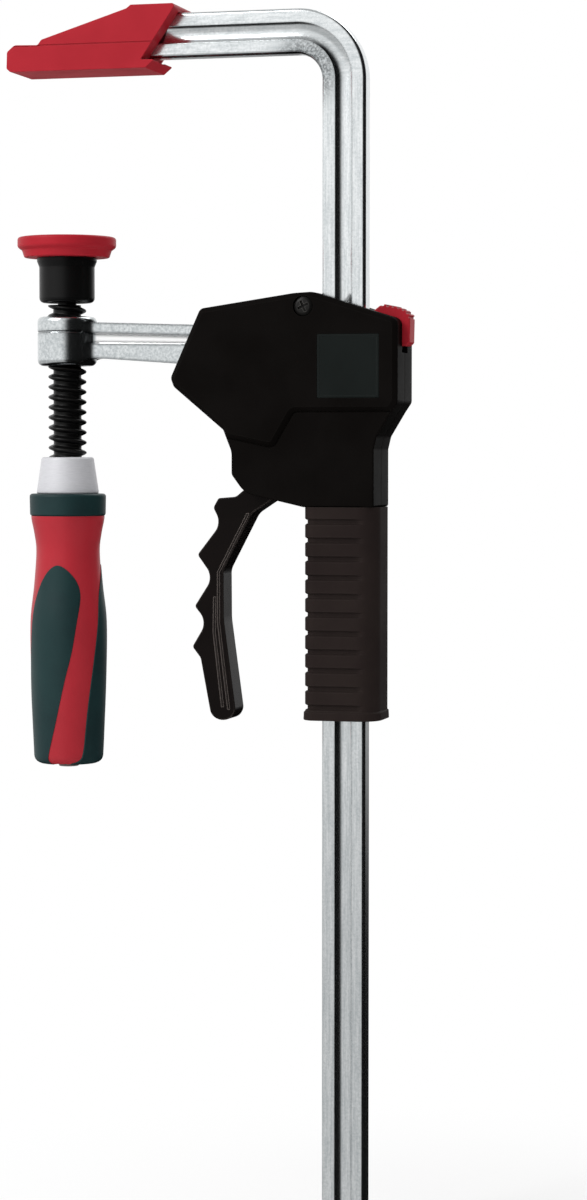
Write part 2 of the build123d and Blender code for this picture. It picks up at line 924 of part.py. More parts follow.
def make_spindle():
    """Threaded spindle: a ball seat and a collar at its tip, a plain shank in the handle."""
    tip = ball_centre() - ball_diameter / 2 + ball_sink
    collar_low = tip - collar_height
    crest = spindle_diameter / 2
    root = crest - thread_depth
    thread_top = cup_bottom - thread_start_gap
    rows = [(0, tip), (collar_diameter / 2, tip), (collar_diameter / 2, collar_low)]
    rows += [(neck_diameter / 2, collar_low), (neck_diameter / 2, thread_top), (root, thread_top)]
    for index in range(thread_turns):
        high = thread_top - index * thread_pitch
        low = high - thread_pitch
        rows.append((root, high - thread_pitch * thread_root_share))
        rows.append((crest, high - thread_pitch * thread_crest_share))
        rows.append((crest, low + thread_pitch * thread_crest_share))
        rows.append((root, low + thread_pitch * thread_root_share))
    shank = shank_diameter / 2
    rows += [(root, ferrule_top + seat), (shank, ferrule_top + seat)]
    rows += [(shank, ferrule_bottom - shank_length), (0, ferrule_bottom - shank_length)]
    rod = turned(rows)
    rod -= Pos(0, 0, ball_centre()) * Sphere(ball_diameter / 2 + slip)
    pin = handle_diameter / 2
    return rod - cross_cylinder(0, ferrule_bottom - cross_pin_drop, cross_pin_diameter, -pin, pin)


def ball_centre():
    """Height of the thrust ball, sunk into the cup's roof."""
    return cap_bottom - cup_roof + ball_sink - ball_diameter / 2


def make_ball():
    return Pos(0, 0, ball_centre()) * Sphere(ball_diameter / 2)


def make_cup():
    """Swivelling pressure cup with a spigot for the cap and a groove for the ring."""
    side = cup_diameter / 2
    wide = cup_top_diameter / 2
    spigot = cup_spigot_diameter / 2
    bore = cup_bore / 2
    rows = [
        (0, cap_bottom + cup_spigot_height),
        (spigot, cap_bottom + cup_spigot_height),
        (spigot, cap_bottom),
        (wide, cap_bottom),
        (side, cap_bottom - cup_flare_height),
        (side, cup_bottom + cup_rounding),
        (side - cup_rounding / 3, cup_bottom + cup_rounding / 3),
        (side - cup_rounding, cup_bottom),
        (bore, cup_bottom),
        (bore, cup_bottom + ring_edge),
        (bore + ring_groove, cup_bottom + ring_edge),
        (bore + ring_groove, cup_bottom + ring_edge + ring_thickness),
        (bore, cup_bottom + ring_edge + ring_thickness),
        (bore, cap_bottom - cup_roof),
        (0, cap_bottom - cup_roof),
    ]
    return turned(rows) - Pos(0, 0, ball_centre()) * Sphere(ball_diameter / 2 + slip)


def make_ring():
    low = cup_bottom + ring_edge
    outside = cup_bore + 2 * ring_groove
    ring = cylinder(0, outside, low, low + ring_thickness)
    return ring - cylinder(0, ring_inner_diameter, low - overrun, low + overrun)


def make_cap():
    """Plastic cap over the cup: a thick rim that tapers in below."""
    outside = cap_diameter / 2
    foot = cap_foot_diameter / 2
    spigot = cup_spigot_diameter / 2 + slip
    rows = [
        (0, cap_top),
        (outside - cap_rounding, cap_top),
        (outside, cap_top - cap_rounding),
        (outside, cap_top - cap_lip),
        (foot, cap_bottom),
        (spigot, cap_bottom),
        (spigot, cap_bottom + cup_spigot_height + slip),
        (0, cap_bottom + cup_spigot_height + slip),
    ]
    return turned(rows)


def make_ferrule():
    top = ferrule_top_diameter / 2
    side = ferrule_diameter / 2
    bore = shank_diameter / 2
    rows = [
        (bore, ferrule_top),
        (top - ferrule_rounding, ferrule_top),
        (top, ferrule_top - ferrule_rounding),
        (side, ferrule_bottom + ferrule_rounding),
        (side - ferrule_rounding, ferrule_bottom),
        (bore, ferrule_bottom),
    ]
    return turned(rows)


def handle_profile(grow):
    """Line down the outside of the handle below its ring, moved out by grow."""
    radius = handle_diameter / 2
    top = ferrule_bottom - handle_ring_height
    places = []
    for down, wide in handle_shares:
        places.append((radius * wide + grow, ferrule_bottom - down * handle_length))
    rounding = handle_foot_rounding
    line = Spline(places)
    start = Line((places[0][0], top), places[0])
    low = places[-1]
    foot = Line(low, (low[0] - rounding * handle_foot_share, handle_bottom + rounding))
    corner = Line(foot @ 1, (low[0] - rounding, handle_bottom - grow))
    return [start, line, foot, corner]


def handle_solid(grow):
    """Solid inside the handle's outside line."""
    lines = handle_profile(grow)
    top = lines[0] @ 0
    end = lines[-1] @ 1
    lines.append(Line(end, (0, end.Y)))
    lines.append(Line((0, end.Y), (0, top.Y)))
    lines.append(Line((0, top.Y), top))
    return revolve(Plane.XZ * make_face(lines), axis=Axis.Z)


def insert_prisms():
    """The unrolled outline of a soft insert, pushed outwards at each of its places."""
    top = ferrule_bottom - insert_start
    rows = []
    for across, down in insert_shares:
        rows.append((across * handle_diameter, top - down * insert_length))
    face = make_face(Spline(rows, periodic=True))
    prisms = []
    for index in range(insert_count):
        prism = side_plate(face, -handle_diameter, -handle_diameter / 8)
        prisms.append(Rot(0, 0, insert_turn + index * 360 / insert_count) * prism)
    return prisms


def make_inserts():
    shell = handle_solid(insert_proud) - handle_solid(-insert_depth)
    return Compound([piece for prism in insert_prisms() for piece in (shell & prism).solids()])


def make_handle_core():
    core = handle_solid(0)
    neck = cylinder(0, handle_neck_diameter, ferrule_bottom - handle_ring_height - seat,
                    ferrule_bottom)
    core += neck
    shell = handle_solid(overrun) - handle_solid(-insert_depth)
    for prism in insert_prisms():
        core -= shell & prism
    core -= cylinder(0, shank_diameter, ferrule_bottom - shank_length, ferrule_bottom + overrun)
    pin = handle_neck_diameter / 2
    core -= cross_cylinder(0, ferrule_bottom - cross_pin_drop, cross_pin_diameter, -pin, pin)
    return core - cylinder(0, end_plug_diameter, handle_bottom - overrun,
                           handle_bottom + end_plug_height)


def make_handle_ring():
    outside = handle_ring_diameter / 2
    bore = handle_neck_diameter / 2
    low = ferrule_bottom - handle_ring_height
    rows = [
        (bore, ferrule_bottom),
        (outside - handle_ring_rounding, ferrule_bottom),
        (outside, ferrule_bottom - handle_ring_rounding),
        (outside, low + handle_ring_rounding),
        (outside - handle_ring_rounding, low),
        (bore, low),
    ]
    return turned(rows)


def make_end_plug():
    return cylinder(0, end_plug_diameter, handle_bottom - end_plug_proud,
                    handle_bottom + end_plug_height)


def make_cross_pin():
    half = handle_neck_diameter / 2 - seat
    return cross_cylinder(0, ferrule_bottom - cross_pin_drop, cross_pin_diameter, -half, half)


def make_trigger_pin():
    half = trigger_pin_length / 2
    return cross_cylinder(trigger_x, trigger_z, trigger_pin_diameter, -half, half)


def make_roller():
    half = fork_width / 2
    return cross_cylinder(roller_x, roller_z, roller_diameter, -half, half)


nodes = {
    "rail": make_rail(),
    "rail_stop_pin": make_stop_pin(),
    "fixed_jaw_pad": make_jaw_pad(),
    "slide_arm": make_slide_arm(),
    "brake_plate": make_brake_plate(),
    "brake_spring": make_brake_spring(),
    "release_button": make_button(),
    "housing_front": make_housing(-1),
    "housing_back": make_housing(1),
    "housing_screws": make_screws(),
    "badge_plate": badge_block(0),
    "upper_guide": make_guide("upper_guide"),
    "lower_guide": make_guide("lower_guide"),
    "grip_sleeve": make_sleeve(),
    "trigger": make_trigger(),
    "trigger_pin": make_trigger_pin(),
    "trigger_roller": make_roller(),
    "drive_plates": make_drive_plates(),
    "drive_spring": make_drive_spring(),
    "spindle": make_spindle(),
    "thrust_ball": make_ball(),
    "pressure_plate": make_cup(),
    "retaining_ring": make_ring(),
    "pressure_cap": make_cap(),
    "ferrule": make_ferrule(),
    "handle_ring": make_handle_ring(),
    "handle_core": make_handle_core(),
    "handle_inserts": make_inserts(),
    "handle_end_plug": make_end_plug(),
    "handle_cross_pin": make_cross_pin(),
}

for name, solid in nodes.items():
    export_step(solid, f"parts/{name}.step")
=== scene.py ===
# %% [markdown]
# # A one-handed clamp
# The clamp is a steel rail, bent at its top into a fixed jaw with a red pad. A black pistol-grip
# head slides along the rail. It carries a forged arm with a screw, and the screw ends in a red
# pressure cap above and in a red and green handle below. Squeezing the trigger steps the head up.
#
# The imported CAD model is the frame: it says where every piece is and how it moves. This notebook
# dresses it. Each piece is modelled again as a finer mesh at the same place, or keeps its CAD mesh
# and gets a finish.

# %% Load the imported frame
import json
import math

import bmesh
import bpy
from mathutils import Matrix, Vector
from mathutils.geometry import interpolate_bezier


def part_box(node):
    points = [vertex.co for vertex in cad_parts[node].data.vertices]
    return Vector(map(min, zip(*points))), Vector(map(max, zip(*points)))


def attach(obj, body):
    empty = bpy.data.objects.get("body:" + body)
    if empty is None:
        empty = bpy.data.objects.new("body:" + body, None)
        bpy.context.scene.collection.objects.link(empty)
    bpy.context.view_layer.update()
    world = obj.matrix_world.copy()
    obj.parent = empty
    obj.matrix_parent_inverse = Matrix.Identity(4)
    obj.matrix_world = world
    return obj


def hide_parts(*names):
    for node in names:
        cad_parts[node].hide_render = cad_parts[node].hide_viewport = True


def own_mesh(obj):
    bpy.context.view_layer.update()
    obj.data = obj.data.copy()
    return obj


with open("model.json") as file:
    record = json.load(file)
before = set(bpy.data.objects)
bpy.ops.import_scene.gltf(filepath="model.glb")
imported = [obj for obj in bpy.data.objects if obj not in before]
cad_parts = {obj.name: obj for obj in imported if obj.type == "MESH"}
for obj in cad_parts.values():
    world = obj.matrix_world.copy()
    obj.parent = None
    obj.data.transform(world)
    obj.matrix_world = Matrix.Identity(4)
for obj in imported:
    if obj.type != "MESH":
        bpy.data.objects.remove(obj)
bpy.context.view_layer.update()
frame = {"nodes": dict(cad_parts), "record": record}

# %% [markdown]
# ## Sizes in millimetres
# Blender works in metres here, but a clamp is drawn in millimetres. So every mesh is built in
# millimetres, and the last step of each piece scales it. `span` reads a CAD node's corners from the
# frame in the same unit, so that a piece starts where the frame says.

# %% Read places from the frame
mm = 0.001


def span(node):
    """Lowest and highest corner of a CAD node, in millimetres."""
    low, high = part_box(node)
    return Vector(low) / mm, Vector(high) / mm


rail_low, rail_high = span("rail")
cap_low, cap_high = span("pressure_cap")
arm_high = span("slide_arm")[1]
print("rail from", rail_low, "to", rail_high)

# %% [markdown]
# ## Camera
# The photograph looks at the clamp from a little to the right of its side, almost level, with a
# long lens. A camera is placed by the direction it looks from, so its angles stay readable. The
# lens follows from a focal length in pixels of the 587 by 1200 frame.

# %% Place the camera
photo_height = 1200
focal_pixels = 2965
sensor_height = 24.0
camera_azimuth = 15.0
camera_elevation = 3.0
camera_distance = 1.3
look_at = Vector((0.10435, 0, -0.232))


def towards(azimuth, elevation):
    """Direction from the clamp to something around it; azimuth 0 is at -Y and 90 at +X."""
    turn, rise = math.radians(azimuth), math.radians(elevation)
    return Vector((math.sin(turn) * math.cos(rise), -math.cos(turn) * math.cos(rise), math.sin(rise)))


def aim(thing, azimuth, elevation, distance):
    """Stands an object at a direction and distance, looking at the clamp."""
    away = towards(azimuth, elevation)
    thing.location = look_at + distance * away
    thing.rotation_euler = away.to_track_quat("Z", "Y").to_euler()
    bpy.context.collection.objects.link(thing)


lens = bpy.data.cameras.new("camera")
lens.sensor_fit = "VERTICAL"
lens.sensor_height = sensor_height
lens.lens = focal_pixels / photo_height * sensor_height
camera = bpy.data.objects.new("camera", lens)
aim(camera, camera_azimuth, camera_elevation, camera_distance)
bpy.context.scene.camera = camera
bpy.context.scene.view_settings.view_transform = "Standard"
print("lens", round(lens.lens, 1), "mm at", camera.location)

# %% [markdown]
# ## Shader maths as Python
# A procedural material is a formula over the surface. Wiring it by hand hides the formula, so one
# small class wraps a socket and lets Python's operators add the Math nodes. A second class holds
# the node tree, and its `add` makes any other node: settings first, then sockets.


# %% Wrap a socket
class Socket:
    """An output of a node that takes part in sums."""

    def __init__(self, board, plug):
        self.board = board
        self.plug = plug

    def maths(self, operation, first, second=0.0):
        """The result of a Math node."""
        return self.board.add("ShaderNodeMath", {"operation": operation}, {0: first, 1: second})

    def __add__(self, other):
        return self.maths("ADD", self, other)

    def __radd__(self, other):
        return self.maths("ADD", other, self)

    def __sub__(self, other):
        return self.maths("SUBTRACT", self, other)

    def __rsub__(self, other):
        return self.maths("SUBTRACT", other, self)

    def __mul__(self, other):
        return self.maths("MULTIPLY", self, other)

    def __rmul__(self, other):
        return self.maths("MULTIPLY", other, self)

    def size(self):
        """The value without its sign."""
        return self.maths("ABSOLUTE", self)

    def least(self, other):
        """The lesser of two values."""
        return self.maths("MINIMUM", self, other)


print("sockets add, subtract and multiply")

# %% Wrap a node tree
# How well a bevelled normal agrees with the true one: on an open face, and on a sharp edge.
open_face, sharp_edge = 0.995, 0.93


class Board:
    """A node tree, emptied, with short ways to add to it."""

    def __init__(self, tree):
        self.tree = tree
        tree.nodes.clear()

    def add(self, kind, settings=None, inputs=None, output=0):
        """A node: its settings first, then the values or links of its sockets."""
        node = self.tree.nodes.new(kind)
        for name, value in (settings or {}).items():
            setattr(node, name, value)
        for name, value in (inputs or {}).items():
            plug = node.inputs[name]
            if isinstance(value, Socket):
                self.tree.links.new(value.plug, plug)
            else:
                plug.default_value = value
        return None if output is None else Socket(self, node.outputs[output])

    def place(self, stretch=(1, 1, 1)):
        """Object coordinates, stretched."""
        here = self.add("ShaderNodeTexCoord", output="Object")
        return self.add("ShaderNodeMapping", inputs={"Vector": here, "Scale": stretch})

    def noise(self, scale, detail=2.0, rough=0.5, stretch=(1, 1, 1)):
        """Cloudy noise from 0 to 1; scale is in patches per metre."""
        inputs = {"Vector": self.place(stretch), "Scale": scale, "Detail": detail, "Roughness": rough}
        return self.add("ShaderNodeTexNoise", inputs=inputs)

    def step(self, value, low, high):
        """0 below low, 1 above high, and smooth between."""
        settings = {"interpolation_type": "SMOOTHSTEP"}
        return self.add("ShaderNodeMapRange", settings, {0: value, 1: low, 2: high})

    def mix(self, mask, first, second):
        """The first colour where mask is 0 and the second where it is 1."""
        # The Mix node takes colours at its sockets 6 and 7, and gives one at its output 2.
        return self.add("ShaderNodeMix", {"data_type": "RGBA"}, {0: mask, 6: first, 7: second}, 2)

    def bump(self, height, distance, strength=1.0):
        """A normal tilted by a height, whose full range is distance metres."""
        inputs = {"Height": height, "Distance": distance, "Strength": strength}
        return self.add("ShaderNodeBump", inputs=inputs)

    def edge(self, radius):
        """1 along edges, where a bevel of that radius would tilt the normal, and 0 on open faces."""
        softened = self.add("ShaderNodeBevel", {"samples": 4}, {"Radius": radius})
        true = self.add("ShaderNodeNewGeometry", output="Normal")
        agree = self.add("ShaderNodeVectorMath", {"operation": "DOT_PRODUCT"},
                         {0: softened, 1: true}, "Value")
        return self.step(agree, open_face, sharp_edge)


print("a bevelled edge agrees to", sharp_edge)


# %% Read colours as a photo editor does
def colour(red, green, blue):
    """A colour as a photo editor counts it, 0 to 255, in the linear units that shaders use."""
    shares = [channel / 255 for channel in (red, green, blue)]
    linear = [s / 12.92 if s <= 0.04045 else ((s + 0.055) / 1.055) ** 2.4 for s in shares]
    return (*linear, 1.0)


print("middle grey is", round(colour(128, 128, 128)[0], 3))

# %% [markdown]
# ## Studio
# The photograph is a cut-out on white. Its metal tells how it was lit: cylinders are bright on
# their left half and nearly black on their right, and faces that look down are dark. So a wide soft
# lamp stands at the left and a weaker one behind and above. The surroundings turn black at the
# right and below, as if large black cards hung there, and grey overhead, but only in reflections.
# To the camera the world is white, and as a light it is plain and dimmer.

# %% Plan the sky
fill_light = 0.62
white = (1.0, 1.0, 1.0, 1.0)
black = (0.004, 0.004, 0.004, 1.0)
dark_azimuth = 80.0
dark_core, dark_rim = 53.0, 85.0
low_azimuth, low_elevation = 165.0, -60.0
low_core, low_rim = 39.0, 65.0
under_core, under_rim = 30.0, 48.0
below_core, below_rim, dim_below = 80.0, 91.0, 0.4
above_core, above_rim, dim_above = 20.0, 55.0, 0.45


def ray(board, kind):
    """1 for rays of that kind and 0 for others."""
    return board.add("ShaderNodeLightPath", output=f"Is {kind} Ray")


def seen(board):
    """1 for rays that show a background: camera, glossy and transmission rays."""
    return (ray(board, "Camera") + ray(board, "Glossy") + ray(board, "Transmission")).least(1.0)


def patch(board, direction, rim, core):
    """1 within core degrees of a direction of the sky, and 0 beyond rim degrees."""
    way = board.add("ShaderNodeTexCoord", output="Generated")
    straight = board.add("ShaderNodeVectorMath", {"operation": "NORMALIZE"}, {0: way})
    near = board.add("ShaderNodeVectorMath", {"operation": "DOT_PRODUCT"},
                     {0: straight, 1: direction}, "Value")
    return board.step(near, math.cos(math.radians(rim)), math.cos(math.radians(core)))


print("patches fade between core and rim")

# %% Paint the world
world = bpy.data.worlds.new("studio")
world.use_nodes = True
bpy.context.scene.world = world
sky = Board(world.node_tree)
level = seen(sky) * (1 - fill_light) + fill_light
dark_right = patch(sky, towards(dark_azimuth, 0), dark_rim, dark_core)
dark_low = patch(sky, towards(low_azimuth, low_elevation), low_rim, low_core)
dark_under = patch(sky, (0, 0, -1), under_rim, under_core)
below = patch(sky, (0, 0, -1), below_rim, below_core) * dim_below
above = patch(sky, (0, 0, 1), above_rim, above_core) * dim_above
darkness = (dark_right + dark_low + dark_under + below + above).least(1.0) * ray(sky, "Glossy")
shade = sky.mix(darkness, white, black)
surround = sky.add("ShaderNodeBackground", inputs={"Color": shade, "Strength": level})
sky.add("ShaderNodeOutputWorld", inputs={"Surface": surround}, output=None)
print("world fill", fill_light)


# %% Hang the lamps
def lamp(name, azimuth, elevation, distance, size, watts):
    """A square soft lamp that faces the clamp."""
    light = bpy.data.lights.new(name, "AREA")
    light.size = size
    light.energy = watts
    aim(bpy.data.objects.new(name, light), azimuth, elevation, distance)


lamp("key", azimuth=-42, elevation=38, distance=1.6, size=0.9, watts=13)
lamp("top_back", azimuth=150, elevation=55, distance=1.8, size=0.9, watts=7)
print("lamps:", len(bpy.data.lights))

# %% [markdown]
# ## Floor
# The floor is pale and keeps the clamp's shadow close by. Further out it turns into the white of
# the world, so that no horizon shows. Reflections look past it into the world.

# %% Lay the floor
floor_radius = 3.0
shadow_reach = 0.32


def surface(name):
    """A new material and its board."""
    material = bpy.data.materials.new(name)
    material.use_nodes = True
    return material, Board(material.node_tree)


def show(board, shader):
    """Ends a material in a shader."""
    board.add("ShaderNodeOutputMaterial", inputs={"Surface": shader}, output=None)


floor_finish, board = surface("floor")
paper = board.add("ShaderNodeBsdfDiffuse", inputs={"Color": colour(250, 250, 250)})
glow = board.add("ShaderNodeEmission", inputs={"Color": white, "Strength": 1.0})
here = board.add("ShaderNodeTexCoord", output="Object")
far = board.add("ShaderNodeVectorMath", {"operation": "LENGTH"}, {0: here}, "Value")
fade = board.step(far, 0.0, shadow_reach) * seen(board)
show(board, board.add("ShaderNodeMixShader", inputs={0: fade, 1: paper, 2: glow}))

bm = bmesh.new()
bmesh.ops.create_grid(bm, x_segments=1, y_segments=1, size=floor_radius)
mesh = bpy.data.meshes.new("floor")
bm.to_mesh(mesh)
bm.free()
mesh.materials.append(floor_finish)
floor = bpy.data.objects.new("floor", mesh)
floor.location = (rail_high.x * mm, 0, rail_low.z * mm)
floor.visible_glossy = False
bpy.context.collection.objects.link(floor)
print("floor at", round(floor.location.z, 4), "m")

# %% [markdown]
# ## Modelling helpers
# Nearly every piece of a clamp starts as a flat outline or as a turned profile. An outline is a few
# corners, and a vertex bevel gives each corner its radius. Extruding makes a plate of it, spinning
# makes a round piece. Edge bevels then break the sharp edges, because light catches on them.

# %% Name the steps that come back
weld = 0.001
overrun, short_overrun = 5, 1


def merge(bm, reach=weld):
    """Makes one vertex of those that lie within reach of each other."""
    bmesh.ops.remove_doubles(bm, verts=bm.verts, dist=reach)


def face_out(bm):
    """Turns every face outwards."""
    bmesh.ops.recalc_face_normals(bm, faces=bm.faces)
    return bm


def whole(bm):
    """All vertices, edges and faces."""
    return bm.verts[:] + bm.edges[:] + bm.faces[:]


def open_edges(bm):
    """The edges that have a face on one side only."""
    return [edge for edge in bm.edges if edge.is_boundary]


def fill_holes(bm):
    """Closes each hole with one face, and gives those faces."""
    return bmesh.ops.holes_fill(bm, edges=open_edges(bm), sides=0)["faces"]


def cut_off(bm, place, away):
    """Cuts off what lies beyond a plane, on the side that away points to."""
    bmesh.ops.bisect_plane(bm, geom=whole(bm), dist=weld, plane_co=place, plane_no=away,
                           clear_outer=True)


def chain(bm, corners, closed=True):
    """Joins vertices by edges, one after the other."""
    for start, end in zip(corners, corners[1:] + (corners[:1] if closed else [])):
        bm.edges.new((start, end))


print("cutters run", short_overrun, "or", overrun, "mm past what they cut")


# %% Draw outlines
def round_corner(bm, corner, radius, segments=6):
    """Rounds a corner between two sides with an arc of that radius."""
    near, far = [edge.other_vert(corner).co - corner.co for edge in corner.link_edges]
    reach = radius * math.tan((math.pi - near.angle(far)) / 2)
    bmesh.ops.bevel(bm, geom=[corner], offset=reach, offset_type="OFFSET", affect="VERTICES",
                    segments=segments, profile=0.5, material=-1, clamp_overlap=True)


def place_corners(rows):
    """A bmesh with a vertex in the XZ plane for each row of (x, z, corner radius)."""
    bm = bmesh.new()
    return bm, [bm.verts.new((row[0], 0, row[1])) for row in rows]


def round_corners(bm, corners, rows):
    """Gives each corner the radius in its row."""
    for corner, row in zip(corners, rows):
        if row[2]:
            round_corner(bm, corner, row[2])
    return bm


def outline(rows):
    """A flat face in the XZ plane from rows of (x, z, corner radius)."""
    bm, corners = place_corners(rows)
    bm.faces.new(corners)
    return round_corners(bm, corners, rows)


def smooth_loop(points, steps=6, closed=True):
    """Points on a smooth curve through the given ones."""
    if closed:
        padded = [points[-1], *points, points[0], points[1]]
    else:
        padded = [points[0], *points, points[-1]]
    padded = [Vector((x, 0, z)) for x, z in padded]
    line = []
    for before, start, end, after in zip(padded, padded[1:], padded[2:], padded[3:]):
        handles = start + (end - before) / 6, end - (after - start) / 6
        line += interpolate_bezier(start, *handles, end, steps + 1)[:-1]
    if not closed:
        line.append(padded[-1])
    return [(point.x, point.z, 0) for point in line]


print("corners are rounded by vertex bevels")


# %% Move and thicken
def new_verts(made):
    """The vertices among what an operator made."""
    return [part for part in made["geom"] if isinstance(part, bmesh.types.BMVert)]


def move(bm, x=0.0, y=0.0, z=0.0):
    """Moves a mesh."""
    bmesh.ops.translate(bm, vec=(x, y, z), verts=bm.verts)
    return bm


def turn(bm, degrees, axis):
    """Turns a mesh about an axis through the origin."""
    spin = Matrix.Rotation(math.radians(degrees), 3, axis)
    bmesh.ops.rotate(bm, cent=(0, 0, 0), matrix=spin, verts=bm.verts)
    return bm


def thicken(bm, low, high):
    """Makes a plate of flat faces, from Y = low to Y = high."""
    move(bm, y=low)
    made = bmesh.ops.extrude_face_region(bm, geom=bm.faces[:], use_keep_orig=True)
    bmesh.ops.translate(bm, vec=(0, high - low, 0), verts=new_verts(made))
    return face_out(bm)


def plate(rows, half):
    """A plate of that outline, half to each side of the middle plane."""
    return thicken(outline(rows), -half, half)


def block(low, high):
    """A box between two corners."""
    bm = bmesh.new()
    bmesh.ops.create_cube(bm, size=1)
    low, high = Vector(low), Vector(high)
    bmesh.ops.scale(bm, vec=high - low, verts=bm.verts)
    bmesh.ops.translate(bm, vec=(low + high) / 2, verts=bm.verts)
    return bm


print("plates and blocks are ready")


# %% Soften edges and turn profiles
def soften(bm, width, segments=3, angle=60, where=None):
    """Rounds the edges that turn by more than angle, all or those that where() accepts."""
    limit = math.radians(angle)
    edges = [edge for edge in bm.edges if edge.is_manifold and edge.calc_face_angle() > limit]
    edges = [edge for edge in edges if where is None or where(edge)]
    bmesh.ops.bevel(bm, geom=edges, offset=width, offset_type="OFFSET", affect="EDGES",
                    segments=segments, profile=0.5, material=-1, clamp_overlap=True)
    merge(bm, 10 * weld)
    return bm


def turned(rows, steps=96, hollow=False):
    """A solid of revolution about Z from rows of (radius, z, corner radius); hollow closes the loop."""
    bm, corners = place_corners(rows)
    chain(bm, corners, closed=hollow)
    round_corners(bm, corners, rows)
    bmesh.ops.spin(bm, geom=bm.verts[:] + bm.edges[:], cent=(0, 0, 0), axis=(0, 0, 1),
                   dvec=(0, 0, 0), angle=2 * math.pi, steps=steps, use_merge=True)
    merge(bm)
    return face_out(bm)


def rod(x, z, diameter, low, high, steps=32):
    """A cylinder along Y."""
    radius = diameter / 2
    bm = turned([(0, low, 0), (radius, low, 0), (radius, high, 0), (0, high, 0)], steps)
    return move(turn(bm, -90, "X"), x=x, z=z)


print("turned pieces are ready")


# %% Carve and join
def scratch_object(bm, name):
    """An object that a modifier can work on for a moment."""
    mesh = bpy.data.meshes.new(name)
    bm.to_mesh(mesh)
    bm.free()
    thing = bpy.data.objects.new(name, mesh)
    bpy.context.collection.objects.link(thing)
    return thing


def carve(bm, *cutters, operation="DIFFERENCE"):
    """The solid bm with others taken away from it, joined to it or kept where they cross."""
    for cutter in cutters:
        stock, tool = scratch_object(bm, "stock"), scratch_object(cutter, "tool")
        change = stock.modifiers.new("carve", "BOOLEAN")
        change.operation = operation
        change.object = tool
        change.solver = "EXACT"
        bm = bmesh.new()
        bm.from_object(stock, bpy.context.evaluated_depsgraph_get())
        for thing in (stock, tool):
            mesh = thing.data
            bpy.data.objects.remove(thing)
            bpy.data.meshes.remove(mesh)
        merge(bm)
    return bm


def unite(bm, *others):
    """The solid bm made one with others that it touches."""
    return carve(bm, *others, operation="UNION")


def overlap(bm, other):
    """What two solids have in common."""
    return carve(bm, other, operation="INTERSECT")


def join(*parts):
    """One bmesh that holds several closed shells, each whole in itself."""
    shells = bmesh.new()
    for part in parts:
        mesh = bpy.data.meshes.new("part")
        part.to_mesh(mesh)
        part.free()
        shells.from_mesh(mesh)
        bpy.data.meshes.remove(mesh)
    return shells


print("solids can be carved and joined")


# %% Turn a mesh into a piece
def make_piece(bm, name, body, slot, nodes, crease=32):
    """Scales a mesh to metres, shades it, dresses it and puts it on its body."""
    merge(bm)
    bmesh.ops.dissolve_degenerate(bm, edges=bm.edges, dist=weld)
    bmesh.ops.scale(bm, vec=(mm, mm, mm), verts=bm.verts)
    for face in bm.faces:
        face.smooth = True
    for edge in bm.edges:
        edge.smooth = edge.is_manifold and edge.calc_face_angle() < math.radians(crease)
    gaps = sum(not edge.is_manifold for edge in bm.edges)
    mesh = bpy.data.meshes.new(name)
    bm.to_mesh(mesh)
    bm.free()
    mesh.materials.append(finishes[slot])
    piece = bpy.data.objects.new(name, mesh)
    bpy.context.collection.objects.link(piece)
    weighted = piece.modifiers.new("weighted_normals", "WEIGHTED_NORMAL")
    weighted.keep_sharp = True
    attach(piece, body)
    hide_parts(*nodes)
    print(name, "has", len(mesh.polygons), "faces and", gaps, "open edges")
    return piece


# %% [markdown]
# ## Finishes
# The clamp has three families of surface: bright steel, blackened steel, and moulded plastic or
# rubber. Within a family only colours, roughness and grain change, so each family is one function.
# Clouds of noise vary the colour, a fine grain tilts the normal, and a bevel node finds the edges.
# Handling rubs these lighter on plastic and blackened steel. On the trigger the light edges are a painted
# highlight. On bright steel the edges are painted dark as shade, the rail's bend gets a patch of painted
# shade, and the floor of the arm's hollow a painted highlight.

# %% Mark where steel differs
# Width of the edge band: worn lighter on plastic and blackened steel, painted dark as shade on bright steel.
wear_and_shade_edge = 0.0005
# Painted shade: the dark colour laid along the edges of bright steel.
painted_edge_shade = colour(62, 66, 68)
# Painted shade: the colour of a darker cloudy patch inside the rail's bend.
bend_shade_steel = colour(66, 72, 74)
bend_height = rail_high.z - 30
bend_blend = 0.01
along_z, along_x = (1, 1, 0.06), (0.12, 1, 1)
# Where a painted highlight whitens the floor of the arm's hollow.
floor_start, floor_half = 0.0135, 0.0046
floor_height, floor_fall = (arm_high.z - 9.1) * mm, 0.029
on_floor, off_floor = 0.0030, 0.0034
start_blend, side_blend = 0.001, 0.0003
edge_shade_cover, bend_shade_cover = 0.85, 0.9
# Centre of the painted shade patch in the bend, and its clouds.
bend_shade_centre = Vector((rail_high.x - 27, -9, rail_high.z - 27)) * mm
bend_shade_clouds, bend_shade_core, bend_shade_fade = 900, 0.35, (0.30, 0.62)


def drawn(board, scale, high_end):
    """Streaks along the rail: along Z below the height high_end, and along X above it."""
    down = board.noise(scale, detail=4, rough=0.6, stretch=along_z)
    across = board.noise(scale, detail=4, rough=0.6, stretch=along_x)
    height = board.add("ShaderNodeSeparateXYZ", inputs={0: board.place()}, output="Z")
    upper = board.step(height, high_end - bend_blend, high_end + bend_blend)
    return down * (1 - upper) + across * upper


# Painted shade: the mask of a darker cloudy patch, used in the rail's bend.
def shaded_bend(board, centre, reach):
    """1 near a place, in clouds that fade out at reach metres from it."""
    away = board.add("ShaderNodeVectorMath", {"operation": "DISTANCE"},
                     {0: board.place(), 1: centre}, "Value")
    clouds = board.noise(bend_shade_clouds, detail=6, rough=0.75)
    return board.step(away, reach, bend_shade_core * reach) * board.step(clouds, *bend_shade_fade)


